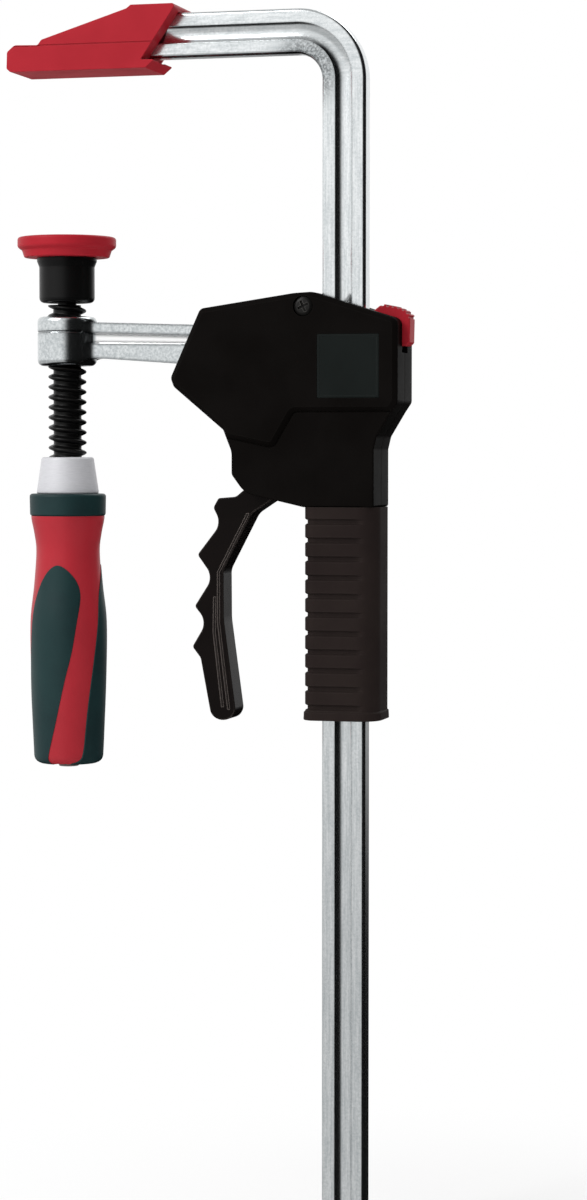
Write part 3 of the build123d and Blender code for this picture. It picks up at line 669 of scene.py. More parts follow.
def painted_floor_highlight(board):
    """1 on the floor of the arm's hollow, where a painted highlight makes the steel white."""
    x, y, z = [board.add("ShaderNodeSeparateXYZ", inputs={0: board.place()}, output=axis) for axis in "XYZ"]
    deep = board.step(y.size(), floor_half, floor_half - side_blend)
    level = board.step((z + floor_fall * x - floor_height).size(), off_floor, on_floor)
    return board.step(x, floor_start, floor_start + start_blend) * deep * level


print("streaks change direction at", round(bend_height, 1), "mm")


# %% Write the steel
# Noise swings about its middle. The swings of clouds and grain change the roughness a little.
noise_middle = 0.5
steel_fade, steel_swing, steel_grain_swing, steel_relief = (0.3, 0.7), 0.08, 0.04, 0.3
grain_to_cloud = 4


def steel(light, dark, rough, mottle, stretch=(1, 1, 1), grain=0.00001, streaks=0.0, metal=1.0,
          bend_shade=None, rim=wear_and_shade_edge, hollow=False):
    """Bare or plated steel with cloudy patches, edges painted dark as shade, and streaks where it was drawn;
    it can also paint a highlight on the arm's hollow floor and a patch of shade in the bend.
    """
    material, board = surface("steel")
    cloud = board.noise(mottle, detail=5, rough=0.65, stretch=stretch)
    fine = board.noise(mottle * grain_to_cloud, detail=3, rough=0.6, stretch=stretch)
    if streaks:
        cloud = cloud * (1 - streaks) + drawn(board, mottle, bend_height * mm) * streaks
    base = board.mix(board.step(cloud, *steel_fade), dark, light)
    # Painted highlight: the floor of the hollow turns white.
    if hollow:
        base = board.mix(painted_floor_highlight(board), base, white)
    # Painted shade: the edges are darkened.
    base = board.mix(board.edge(rim) * edge_shade_cover, base, painted_edge_shade)
    # Painted shade: the patch in the bend.
    if bend_shade:
        base = board.mix(shaded_bend(board, *bend_shade) * bend_shade_cover, base, bend_shade_steel)
    show(board, board.add("ShaderNodeBsdfPrincipled", inputs={
        "Base Color": base,
        "Metallic": metal,
        "Roughness": (rough + (noise_middle - cloud) * steel_swing
                      + (fine - noise_middle) * steel_grain_swing),
        "Normal": board.bump(fine, grain, steel_relief),
    }))
    return material


print("steel clouds fade between", *steel_fade)


# %% Write the plastic
plastic_clouds, plastic_fade, plastic_swing, plastic_relief, plastic_wear_and_highlight = 45, (0.3, 0.75), 0.12, 0.6, 0.4


def plastic(tint, shade, edge_wear_and_highlight, rough, gloss=0.5, grain=1500, depth=0.00003):
    """Moulded plastic with a fine eroded grain; gloss is the strength of its reflections."""
    material, board = surface("plastic")
    cloud = board.noise(plastic_clouds, detail=3)
    fine = board.noise(grain, detail=2, rough=0.6)
    base = board.mix(board.step(cloud, *plastic_fade), tint, shade)
    # Edges take the edge colour: real wear, and on the trigger a painted highlight.
    base = board.mix(board.edge(wear_and_shade_edge) * plastic_wear_and_highlight, base, edge_wear_and_highlight)
    show(board, board.add("ShaderNodeBsdfPrincipled", inputs={
        "Base Color": base,
        "Specular IOR Level": gloss,
        "Roughness": (rough + (cloud - noise_middle) * plastic_swing
                      + (fine - noise_middle) * plastic_swing),
        "Normal": board.bump(fine, depth, plastic_relief),
    }))
    return material


print("plastic clouds fade between", *plastic_fade)

# %% Write the blackened steel
oxide_clouds, oxide_fade, oxide_swing, oxide_wear = 220, (0.35, 0.65), 0.2, 0.5
oxide_metal, bared_metal, oxide_gloss = 0.22, 0.6, 0.2
oxide_grain, oxide_depth, oxide_relief = 1800, 0.00001, 0.6


def oxide(tint, shine, rough):
    """Blackened steel: dark, a little glossy, with brighter metal on the edges."""
    material, board = surface("oxide")
    cloud = board.noise(oxide_clouds, detail=4, rough=0.6)
    rubbed = board.edge(wear_and_shade_edge) * board.step(cloud, *oxide_fade)
    show(board, board.add("ShaderNodeBsdfPrincipled", inputs={
        "Base Color": board.mix(rubbed * oxide_wear, tint, shine),
        "Metallic": oxide_metal + rubbed * bared_metal,
        "Specular IOR Level": oxide_gloss,
        "Roughness": rough + (cloud - noise_middle) * oxide_swing,
        "Normal": board.bump(board.noise(oxide_grain), oxide_depth, oxide_relief),
    }))
    return material


print("families: steel, plastic, oxide")

# %% Mix the finishes
# Steel takes a light and a dark colour, a roughness and how many clouds fit in a metre. Plastic takes a
# tint, its shade, the colour of worn edges (on the trigger a painted highlight), a roughness and a gloss,
# then how many grains fit in a metre and their depth. Oxide takes a tint, the metal's shine and a roughness.
finishes = {
    # Bright steel has its edges painted dark as shade; the rail gets a patch of painted shade in its bend,
    # and the arm a painted highlight on its hollow's floor.
    "rail_steel": steel(colour(240, 243, 244), colour(200, 206, 208), 0.20, 900, streaks=0.6,
                        bend_shade=(bend_shade_centre, 0.022), rim=0.0011),
    "forged_steel": steel(colour(224, 228, 229), colour(186, 192, 194), 0.20, 800, grain=0.00002,
                          rim=0.0020, hollow=True),
    "dark_steel": steel(colour(120, 122, 124), colour(84, 86, 88), 0.30, 700),
    "spring_steel": steel(colour(150, 152, 154), colour(110, 112, 114), 0.25, 900),
    "silver_ferrule": steel(colour(210, 210, 214), colour(200, 200, 204), 0.45, 300, (1, 1, 12), metal=0.1),
    "black_steel": oxide(colour(15, 15, 15), colour(110, 108, 104), 0.34),
    "black_screw": oxide(colour(24, 23, 22), colour(130, 128, 124), 0.36),
    "red_plastic": plastic(colour(173, 31, 44), colour(164, 26, 39), colour(190, 56, 66), 0.42, 0.14),
    "red_handle": plastic(colour(176, 36, 48), colour(166, 31, 43), colour(190, 66, 74), 0.38, 0.28, 1100),
    "black_plastic": plastic(colour(17, 15, 14), colour(13, 11, 10), colour(34, 32, 30), 0.42, 0.01),
    # Painted highlight: the trigger's light edge colour stands in for light caught on its rounded edges.
    "trigger_plastic": plastic(colour(19, 15, 14), colour(15, 12, 11), colour(176, 164, 158), 0.28, 0.04),
    "black_rubber": plastic(colour(42, 35, 33), colour(37, 30, 29), colour(60, 54, 51), 0.55, 0.03, 900,
                            0.00006),
    "badge_plastic": plastic(colour(23, 27, 26), colour(20, 24, 23), colour(44, 48, 47), 0.35, 0.05),
    "guide_plastic": plastic(colour(36, 35, 34), colour(30, 29, 28), colour(60, 58, 56), 0.5, 0.2),
    "green_rubber": plastic(colour(24, 52, 53), colour(20, 45, 47), colour(44, 72, 72), 0.45, 0.22, 1000,
                            0.00005),
    "grey_plastic": plastic(colour(112, 104, 103), colour(98, 92, 91), colour(140, 134, 132), 0.48, 0.3),
}
for slot, finish in finishes.items():
    finish.name = slot + "_finish"
print(len(finishes), "finishes")

# %% Dress the CAD nodes
# Inner pieces keep their CAD meshes. Every node gets its finish here, also those replaced later.
slot_of = {part["node"]: part["material_slot"] for part in frame["record"]["subparts"]}
for name, thing in frame["nodes"].items():
    thing.data.materials.clear()
    thing.data.materials.append(finishes[slot_of[name]])
print("dressed", len(slot_of), "nodes")

# %% [markdown]
# ## Rail
# The rail is one bar of steel, rolled with a shallow groove along both wide faces and bent through
# a right angle. A curve with a bevel could follow it, but the bend must keep the section upright
# and its radius exact. So the section is a loop of edges that is extruded along the arm, spun
# about the bend's centre and extruded down the leg.

# %% Draw the rail's section
rail_width = 19.5
rail_half = (rail_high.y - rail_low.y) / 2
rail_rounding = 1.6
groove_width = 7.5
groove_radius = 5.4
groove_apex = 2.8
groove_lip = 0.35
edge_segments, lip_segments, groove_segments = 5, 3, 14
rail_front = rail_high.x - rail_width
rim = (rail_width - groove_width) / 2


def rail_section():
    """The section as a loop of edges in the YZ plane, its outer side at Z = 0."""
    side = [(0, rail_rounding, edge_segments), (-rim, groove_lip, lip_segments),
            (-rail_width / 2, groove_radius, groove_segments),
            (-rim - groove_width, groove_lip, lip_segments), (-rail_width, rail_rounding, edge_segments)]
    bm = bmesh.new()
    corners = []
    for face, rows in ((-1, side), (1, side[::-1])):
        for place, radius, segments in rows:
            depth = groove_apex if radius == groove_radius else 0
            corner = bm.verts.new((0, face * (rail_half - depth), place))
            corners.append((corner, radius, segments))
    chain(bm, [row[0] for row in corners])
    for corner, radius, segments in sorted(corners, key=lambda row: -row[1]):
        round_corner(bm, corner, radius, segments)
    return bm


print("groove", groove_width, "mm wide in a bar of", rail_width)

# %% Run the section along the rail
rail_under = rail_high.z - rail_width
bend_inner = 11.5
bend_steps = 28
bend_centre = Vector((rail_front - bend_inner, 0, rail_under - bend_inner))
tip_height = 4.1
taper_length = 45.0
rail_end_rounding = 0.6


def run_on(bm, edges, step):
    """Extrudes a loop of edges along a vector and gives the new loop."""
    made = bmesh.ops.extrude_edge_only(bm, edges=edges)
    bmesh.ops.translate(bm, vec=step, verts=new_verts(made))
    return [part for part in made["geom"] if isinstance(part, bmesh.types.BMEdge)
            and all(vert in set(new_verts(made)) for vert in part.verts)]


bm = rail_section()
move(bm, x=rail_low.x, z=rail_high.z)
loop = run_on(bm, bm.edges[:], (bend_centre.x - rail_low.x, 0, 0))
ring = list({vert for edge in loop for vert in edge.verts})
made = bmesh.ops.spin(bm, geom=loop + ring, cent=bend_centre, axis=(0, 1, 0), dvec=(0, 0, 0),
                      angle=math.pi / 2, steps=bend_steps)
loop = [part for part in made["geom_last"] if isinstance(part, bmesh.types.BMEdge)]
run_on(bm, loop, (0, 0, rail_low.z - bend_centre.z))
cut_off(bm, (rail_low.x, 0, rail_under + tip_height), (tip_height - rail_width, 0, taper_length))
merge(bm)
fill_holes(bm)
face_out(bm)
soften(bm, rail_end_rounding, 2,
       where=lambda edge: all(vert.co.z < rail_low.z + weld for vert in edge.verts))
make_piece(bm, "rail_bar", "bar", "rail_steel", ["rail"])

# %% [markdown]
# ## Stop pin
# A rolled spring pin through the lower end of the rail keeps the head from sliding off. A plain
# cylinder would hide its wall, which shows at both ends, so it is a turned tube laid across the rail.

# %% Make the stop pin
pin_low, pin_high = span("rail_stop_pin")
pin_radius = (pin_high.z - pin_low.z) / 2
pin_wall = 1.1
pin_rounding, pin_lip = 0.5, 0.2
rows = [(pin_radius - pin_wall, pin_low.y, pin_lip), (pin_radius, pin_low.y, pin_rounding),
        (pin_radius, pin_high.y, pin_rounding), (pin_radius - pin_wall, pin_high.y, pin_lip)]
bm = turned(rows, steps=40, hollow=True)
turn(bm, -90, "X")
move(bm, x=(pin_low.x + pin_high.x) / 2, z=(pin_low.z + pin_high.z) / 2)
make_piece(bm, "stop_pin", "bar", "dark_steel", ["rail_stop_pin"])

# %% [markdown]
# ## Fixed jaw pad
# The pad is a red moulding pushed over the end of the rail: a low nose, a slanted back that follows
# the rail's taper, a flat sole and a tongue that runs under the rail. A boolean takes out the pocket
# for the rail, because a pocket inside a solid has no simple extrusion.

# %% Mould the pad
pad_low, pad_high = span("fixed_jaw_pad")
pad_size = pad_high - pad_low
pad_edge = 1.3
large_face = 20
# Shares of the pad's length and height, each with the corner's radius in millimetres.
pad_shares = [
    (0.000, 0.055, 0.8), (0.022, 0.000, 0.8), (0.828, 0.000, 0.6), (0.883, 0.130, 0.5),
    (0.800, 0.130, 0.4), (1.000, 0.950, 0.7), (0.990, 1.000, 0.5), (0.742, 1.000, 1.2),
    (0.717, 0.945, 1.0), (0.210, 0.500, 1.5), (0.187, 0.416, 1.2), (0.048, 0.427, 2.5),
    (0.003, 0.321, 1.6),
]
rows = [(pad_low.x + across * pad_size.x, pad_low.z + up * pad_size.z, radius)
        for across, up, radius in pad_shares]
bm = soften(plate(rows, pad_size.y / 2), pad_edge, 4)


def side_faces(bm):
    """The flat faces that look along Y, either way."""
    return [face for face in bm.faces if abs(face.normal.y) > 0.999]


def score(bm, z, low_x, high_x, width, depth):
    """A shallow line pressed along X into both side faces."""
    sides = [face for face in side_faces(bm) if face.calc_area() > large_face]
    for cut_z in (z - width / 2, z + width / 2):
        near = {part for face in sides for part in (face, *face.edges, *face.verts)}
        bmesh.ops.bisect_plane(bm, geom=list(near), dist=weld, plane_co=(0, 0, cut_z), plane_no=(0, 0, 1))
        sides = side_faces(bm)
    strip = [face for face in sides if abs(face.calc_center_median().z - z) < width / 2]
    strip = [face for face in strip if low_x < face.calc_center_median().x < high_x]
    bmesh.ops.inset_region(bm, faces=strip, thickness=width / 4, depth=-depth)


print("pad", round(pad_size.x, 1), "mm long")

# %% Press the seam and cut the pocket
seam_share = 0.41
seam_start, seam_end = -8, 50
score(bm, pad_low.z + seam_share * pad_size.z, seam_start, seam_end, width=0.7, depth=0.4)
pocket_slip, pocket_play = 0.1, 0.2
tongue_x, tongue_z, pocket_end = 20, 3.0, 60
pocket_rows = [
    (rail_low.x - pocket_slip, rail_under - pocket_slip, 0), (tongue_x, rail_under - pocket_slip, 0),
    (tongue_x, tongue_z, 0), (pocket_end, tongue_z, 0), (pocket_end, rail_high.z + pocket_play, 0),
    (rail_low.x + taper_length + 2 * pocket_play, rail_high.z + pocket_play, 0),
    (rail_low.x - pocket_slip, rail_under + tip_height + pocket_play, 0),
]
bm = carve(bm, plate(pocket_rows, rail_half + pocket_slip))
make_piece(bm, "jaw_pad_moulding", "bar", "red_plastic", ["fixed_jaw_pad"])

# %% [markdown]
# ## Pressure cap and cup
# The foot is turned: a red cap with a thick rounded rim over a black cup. Stacked cylinders would
# need every rim bevelled by itself. So a profile, whose corners already have their radii, is spun
# about the screw's axis.

# %% Turn the cap and the cup
round_steps = 128
cup_low = span("pressure_plate")[0]
cap_radius = cap_high.x
rim_depth, shoulder_depth = 4.4, 5.9
shoulder_inset, skirt_inset = 2.0, 3.0
seat_radius, seat_height = 9.9, 3.6
cap_rows = [
    (0, cap_high.z, 0), (cap_radius, cap_high.z, 1.3), (cap_radius, cap_high.z - rim_depth, 1.5),
    (cap_radius - shoulder_inset, cap_high.z - shoulder_depth, 0.8),
    (cap_radius - skirt_inset, cap_low.z, 0.8),
    (seat_radius, cap_low.z, 0), (seat_radius, cap_low.z + seat_height, 0), (0, cap_low.z + seat_height, 0),
]
make_piece(turned(cap_rows, round_steps), "pressure_cap_moulding", "foot", "red_plastic", ["pressure_cap"])
cup_radius, cup_top_radius = 12.3, 13.3
peg_radius, peg_height = 9.7, 3.4
cup_band, cup_cone = 1.6, 4.2
bore_radius, bore_lip, bore_chamfer, bore_top = 8.2, 0.6, 0.5, 5.0
cup_rows = [
    (0, cap_low.z + peg_height, 0), (peg_radius, cap_low.z + peg_height, 0.4), (peg_radius, cap_low.z, 0),
    (cup_top_radius, cap_low.z, 0.3), (cup_top_radius, cap_low.z - cup_band, 0.8),
    (cup_radius, cap_low.z - cup_cone, 1.2), (cup_radius, cup_low.z, 2.2),
    (bore_radius + bore_lip, cup_low.z, 0.5), (bore_radius, cup_low.z + bore_chamfer, 0),
    (bore_radius, cap_low.z - bore_top, 0), (0, cap_low.z - bore_top, 0),
]
make_piece(turned(cup_rows, round_steps), "pressure_cup", "foot", "black_steel", ["pressure_plate"])

# %% [markdown]
# ## Screw
# The thread is a true helix. A Screw modifier could wind it, but the ends must be trimmed flat, so
# the profile of one pitch is spun about the axis while it sinks by a pitch a turn. The spin runs a
# turn too far at both ends, and two flat cuts trim it. Tip and shank are turned.

# %% Cut the thread
screw_low, screw_high = span("spindle")
ferrule_low, ferrule_high = span("ferrule")
thread_radius = screw_high.x
thread_depth = 2.3
pitch = 4.5
thread_gap = 1.05
thread_top = cup_low.z - thread_gap
thread_bottom = ferrule_high.z
turn_steps = 40
thread_turns = math.ceil((thread_top - thread_bottom) / pitch) + 2
thread_shares = [(1, 0), (1, 0.14), (0.93, 0.19), (0.30, 0.33), (0.10, 0.39), (0, 0.47), (0, 0.53),
                 (0.10, 0.61), (0.30, 0.67), (0.93, 0.81), (1, 0.86), (1, 1)]
rows = [(thread_radius - thread_depth * deep, thread_top + pitch - down * pitch, 0)
        for deep, down in thread_shares]
bm, line = place_corners(rows)
chain(bm, line, closed=False)
bmesh.ops.spin(bm, geom=bm.verts[:] + bm.edges[:], cent=(0, 0, 0), axis=(0, 0, 1),
               dvec=(0, 0, -pitch / turn_steps), angle=2 * math.pi * thread_turns,
               steps=turn_steps * thread_turns)
merge(bm)
for height, side in ((thread_top, 1), (thread_bottom, -1)):
    cut_off(bm, (0, 0, height), (0, 0, side))
    fill_holes(bm)
face_out(bm)
print("thread of", thread_turns, "turns before its ends are trimmed")

# %% Add the tip and the shank
neck, collar, shank_radius = 4.2, 6.5, 5.5
collar_height, neck_start, sunk = 4.0, 4.2, 0.1
tip_rows = [(0, screw_high.z, 0), (collar, screw_high.z, 0.6), (collar, screw_high.z - collar_height, 0.3),
            (neck, screw_high.z - neck_start, 0), (neck, thread_top - sunk, 0), (0, thread_top - sunk, 0)]
shank_rows = [(0, thread_bottom + sunk, 0), (shank_radius, thread_bottom + sunk, 0),
              (shank_radius, screw_low.z, 0.5), (0, screw_low.z, 0)]
bm = join(bm, turned(tip_rows, steps=48), turned(shank_rows, steps=48))
make_piece(bm, "screw_spindle", "screw", "black_steel", ["spindle"], crease=40)

# %% [markdown]
# ## Handle
# The handle is a stack of turned pieces on the screw: a bright ferrule, a green ring and a red body
# that narrows to a waist and swells again for the palm. Three soft green leaves wrap round it. Each
# leaf is cut from a thin shell of the handle's own shape with a prism, so it follows every curve.

# %% Turn the ferrule and the ring
handle_ring_low, handle_ring_high = span("handle_ring")
handle_low, handle_high = span("handle_core")
ferrule_top, ferrule_foot = 11.55, 13.95
rows = [(shank_radius, ferrule_high.z, 0), (ferrule_top, ferrule_high.z, 1.2),
        (ferrule_foot, ferrule_low.z, 0.8), (shank_radius, ferrule_low.z, 0)]
bm = turned(rows, round_steps, hollow=True)
make_piece(bm, "ferrule_turning", "screw", "silver_ferrule", ["ferrule"])
core_radius = 13.0
ring_radius, ring_draft, ring_gap = handle_ring_high.x, 0.2, 0.05
rows = [(core_radius, handle_ring_high.z, 0), (ring_radius, handle_ring_high.z, 1.3),
        (ring_radius - ring_draft, handle_ring_low.z, 1.0), (core_radius, handle_ring_low.z, 0)]
bm = turned(rows, round_steps, hollow=True)
make_piece(bm, "soft_ring", "screw", "green_rubber", ["handle_ring"])

# %% Turn the body
handle_radius = 16.9
handle_length = handle_high.z - handle_low.z
handle_foot, foot_draft = 3.7, 0.2
handle_shares = [(0.082, 0.968), (0.100, 0.955), (0.150, 0.885), (0.215, 0.838), (0.340, 0.900),
                 (0.475, 1.000), (0.680, 0.985), (0.890, 0.925), (0.955, 0.905)]


def handle_rows(grow):
    """The handle's side from its ring to its foot, moved out by grow."""
    points = [(handle_radius * wide + grow, handle_high.z - down * handle_length)
              for down, wide in handle_shares]
    line = smooth_loop(points, closed=False)
    low = handle_low.z - grow
    return line + [(line[-1][0] - foot_draft, low, handle_foot), (0, low, 0)]


rows = [(0, handle_high.z, 0), (core_radius, handle_high.z, 0),
        (core_radius, handle_ring_low.z - ring_gap, 0)]
bm = turned(rows + handle_rows(0), round_steps)
make_piece(bm, "handle_body", "screw", "red_handle", ["handle_core"])

# %% Cut the soft leaves
leaf_count = 3
leaf_turn = -25.0
leaf_proud = 0.3
leaf_depth = 1.6
leaf_start = 32.5
leaf_length = 83.0
leaf_width = 33.8
leaf_skip = 4
skin_drop, hollow_rise = 1, 2
leaf_shares = [
    (0.200, -0.010), (0.365, 0.060), (0.427, 0.200), (0.390, 0.420), (0.308, 0.600), (0.190, 0.820),
    (0.070, 1.000), (0.000, 1.100), (-0.350, 1.100), (-0.350, 0.960), (-0.320, 0.660), (-0.215, 0.300),
    (-0.130, 0.150), (0.030, 0.035),
]
rows = smooth_loop([(across * leaf_width, handle_high.z - leaf_start - down * leaf_length)
                    for across, down in leaf_shares])
skin_rows = [(0, handle_ring_low.z - skin_drop, 0)] + handle_rows(leaf_proud)[leaf_skip:]
hollow_rows = [(0, handle_ring_low.z + hollow_rise, 0), (handle_radius, handle_ring_low.z + hollow_rise, 0)]
hollow_rows += handle_rows(-leaf_depth)
leaves = []
for index in range(leaf_count):
    prism = thicken(outline(rows), -1.5 * handle_radius, -handle_radius / 4)
    turn(prism, leaf_turn + index * 360 / leaf_count, "Z")
    skin = carve(turned(skin_rows, round_steps), turned(hollow_rows, round_steps))
    leaves.append(overlap(skin, prism))
make_piece(join(*leaves), "soft_leaves", "screw", "green_rubber", ["handle_inserts"])

# %% [markdown]
# ## End plug
# A small grey plug closes the handle's foot. Its rim stands a little below its flat bottom, which
# one more turned profile gives.

# %% Turn the plug
plug_low, plug_high = span("handle_end_plug")
plug_radius = plug_high.x
plug_rim, plug_slope, plug_hollow = 1.2, 1.5, 0.5
rows = [(0, plug_high.z, 0), (plug_radius, plug_high.z, 0), (plug_radius, plug_low.z, 0.5),
        (plug_radius - plug_rim, plug_low.z, 0.3), (plug_radius - plug_slope, plug_low.z + plug_hollow, 0.2),
        (0, plug_low.z + plug_hollow, 0)]
make_piece(turned(rows, steps=48), "end_plug", "screw", "grey_plastic", ["handle_end_plug"])

# %% [markdown]
# ## Sliding arm
# The arm is forged: a boss for the screw, a beam with a hollow along each side, and a block with two
# eyes that slides on the rail inside the head. The beam's side starts as a grid of three rows, whose
# columns flare into the boss in a fillet. Insetting the middle row presses the hollow in. The other
# half is its mirror image, and booleans join the boss, open the eyes for the rail and bore the boss.

# %% Place the columns of the beam
boss_radius, boss_height, cup_gap = 13.15, 21.8, 6.2
boss_high = cup_low.z - cup_gap
boss_bottom = boss_high - boss_height
column_gap, column_depth = 6.2, 14.0
column_back = rail_front - column_gap
column_front = column_back - column_depth
shoulder = 2.2
arm_half = 7.5
arm_top = boss_high - shoulder
arm_height = 15.2
top_fall, bottom_fall = 3.8, 8.0
waist_half, fillet_radius, gusset = 5.6, 8.0, 2.0
fillet_centre = math.sqrt((boss_radius + fillet_radius) ** 2 - (waist_half + fillet_radius) ** 2)
fillet_angle = math.degrees(math.asin(fillet_centre / (boss_radius + fillet_radius)))
fillet_steps = 6
hollow_end = column_front + 4
columns = []
for step in range(fillet_steps + 1):
    angle = math.radians(fillet_angle * (1 - step / fillet_steps))
    bulge = 1 - math.cos(angle)
    drop = gusset * bulge / (1 - math.cos(math.radians(fillet_angle)))
    x = fillet_centre - fillet_radius * math.sin(angle)
    columns.append((x, waist_half + fillet_radius * bulge, drop))
columns = [(0, *columns[0][1:])] + columns + [(hollow_end, arm_half, 0), (column_back, arm_half, 0)]
print("beam of", len(columns), "columns, fillet", round(fillet_angle, 1), "degrees")

# %% Forge the beam
hollow_top, hollow_span, hollow_narrowing = 4.6, 4.8, 1.4
hollow_bevel, hollow_depth = 0.7, 3.6


def on_beam(x, half, down):
    """A point of the beam's side: down counts from its sloping top."""
    return x, -half, arm_top - top_fall * x / column_back - down


def beam_downs(x, drop):
    """How far the four lines along the beam lie below its top: rims of the hollow in the middle."""
    low = arm_height + (bottom_fall - top_fall) * x / column_back + drop
    height = hollow_span - hollow_narrowing * max(0, x - fillet_centre) / (hollow_end - fillet_centre)
    return 0, hollow_top, hollow_top + height, low


bm = bmesh.new()
spans = len(columns) - 1
bmesh.ops.create_grid(bm, x_segments=spans, y_segments=3, size=1)
for index, vert in enumerate(bm.verts):
    line, column = divmod(index, len(columns))
    x, half, drop = columns[column]
    vert.co = on_beam(x, half, beam_downs(x, drop)[line])
middle = bm.faces[:][spans:2 * spans - 1]
made = bmesh.ops.extrude_edge_only(bm, edges=open_edges(bm))
for vert in new_verts(made):
    vert.co.y = 0
face_out(bm)
bmesh.ops.inset_region(bm, faces=middle, thickness=hollow_bevel, depth=-hollow_depth, use_even_offset=True)
bmesh.ops.mirror(bm, geom=whole(bm), axis="Y", merge_dist=weld)
face_out(bm)
soften(bm, 0.5, 3, angle=25)
print("beam has", len(bm.faces), "faces")

# %% Join the boss and the eyes
band_top, band_middle, band_low, band_depth = 6.4, 6.9, 7.4, 0.45
boss_rows = [(0, boss_high, 0), (boss_radius, boss_high, 2.2), (boss_radius, boss_high - band_top, 0.3),
             (boss_radius - band_depth, boss_high - band_middle, 0.4),
             (boss_radius, boss_high - band_low, 0.3), (boss_radius, boss_bottom, 2.6), (0, boss_bottom, 0)]
eye_half = 10.5
eye_top = boss_high - 5.8
window_top, window_bottom, eye_bottom = eye_top - 8, eye_top - 28, eye_top - 35
eye_back, tongue_back = rail_high.x + 4.6, rail_high.x + 11.3
eye_rows = [(column_front, eye_top, 1), (eye_back, eye_top, 1), (eye_back, window_top, 1),
            (column_back, window_top, 1), (column_back, window_bottom, 1), (tongue_back, window_bottom, 1),
            (tongue_back, eye_bottom, 1), (column_front, eye_bottom, 1)]
lug_low = window_top - 10 + 2.3
lug_root, lug_reach, lug_height = 2, 3.5, 3
lug = block((column_back - lug_root, -eye_half, lug_low),
            (column_back + lug_reach, eye_half, lug_low + lug_height))
bm = unite(bm, turned(boss_rows), soften(plate(eye_rows, eye_half), 0.8, 2), lug)


def rail_way(play, low, high):
    """What the rail needs to pass through a piece, with play on all sides."""
    return block((rail_front - play, -rail_half - play, low - overrun),
                 (rail_high.x + play, rail_half + play, high + overrun))


rail_play, thread_play = 0.3, 0.05
bore_rows = [(0, boss_bottom - overrun, 0), (thread_radius + thread_play, boss_bottom - overrun, 0),
             (thread_radius + thread_play, boss_high + overrun, 0), (0, boss_high + overrun, 0)]
bm = carve(bm, rail_way(rail_play, eye_bottom, eye_top), turned(bore_rows))
make_piece(bm, "forged_arm", "head", "forged_steel", ["slide_arm"])

# %% [markdown]
# ## Head and its shells
# The head is two black shells screwed together round the mechanism. Its upper part is a raised
# panel with a slanted border. So the side is drawn as one flat face, split along the panel's lower
# edge, and each part is inset and raised in rounded steps. Then the inside is cut away with simple
# solids, because the shells must be as hollow as the real ones.

# %% Draw the head's side
shell_low, shell_high = span("housing_front")
sleeve_low, sleeve_high = span("grip_sleeve")
pivot, roller = [(low + high) / 2 for low, high in (span("trigger_pin"), span("trigger_roller"))]
collar_flare = 0.7
back_trim = 0.8
head_front, head_back, head_top = shell_low.x, shell_high.x - back_trim, shell_high.z
head_bottom = sleeve_high.z
head_length, head_height = head_back - head_front, head_top - head_bottom
grip_front, grip_back = sleeve_low.x + collar_flare, sleeve_high.x - collar_flare
neck_step, neck_draft = 1.4, 1.3
neck_back = grip_back - neck_step
roller_radius, bar_half, belly_gap = 3, 4.5, 5.4
belly_front = span("trigger_roller")[0].x + roller_radius - bar_half - belly_gap
neck_half, head_half = 14.5, 16.0
parting = 0.05
panel_start = 77.66


def on_head(across, down, radius=0.0):
    """A corner from shares of the head's length and height."""
    return head_front + across * head_length, head_top - down * head_height, radius * head_height


def on_belly(across, down, radius=0.0):
    """A corner from shares of the way from the belly's front to the grip."""
    return belly_front + across * (grip_front - belly_front), *on_head(0, down, radius)[1:]


panel_right = on_head(0.973, 0.556)
panel_left = (panel_start, *on_head(0, 0.676)[1:])
panel_bends = [on_head(0.549, 0.556), on_head(0.459, 0.724)]
head_rows = [
    on_head(0.133, 0.072, 0.030), on_head(0.548, 0.005, 0.250), on_head(0.630, 0.000, 0.090),
    on_head(1.000, 0.128, 0.038), on_head(1.000, 0.512, 0.032), panel_right,
    (neck_back + neck_draft, *on_head(0, 0.672, 0.043)[1:]), (neck_back, *on_head(0, 0.731, 0.032)[1:]),
    (neck_back, head_bottom, 1.0), (grip_front, head_bottom, 1.0),
    on_belly(0.183, 0.935, 0.097), on_belly(0, 0.849, 0.032), on_belly(0, 0.742, 0.086), panel_left,
    on_belly(-0.115, 0.640, 0.022), on_head(0.014, 0.437, 0.032), on_head(0, 0.395, 0.032),
]
print("head", round(head_length, 1), "by", round(head_height, 1), "mm")

# %% Raise the panel
# Each step goes in by the first number and up by the second, in millimetres.
neck_edge = [(0.12, 0.30), (0.25, 0.25), (0.43, 0.25)]
panel_edge = [(0.20, 0.50), (0.55, 0.65), (1.05, 0.90), (0.40, 0.25)]
seam_edge = [(0.08, 0.20), (0.17, 0.10)]
side_base, seam_base = neck_half - 0.8, 0.35
bend_radii = 2.5, 3.0


def corner_at(bm, row):
    """The vertex nearest to a row's place."""
    place = Vector((row[0], bm.verts[:][0].co.y, row[1]))
    return min(bm.verts, key=lambda vert: (vert.co - place).length)


def raise_face(bm, face, steps):
    """Lifts a flat face in rounded steps of (how far in, how far up)."""
    for inwards, up in steps:
        bmesh.ops.inset_region(bm, faces=[face], thickness=inwards, depth=up,
                               use_boundary=True, use_even_offset=True)


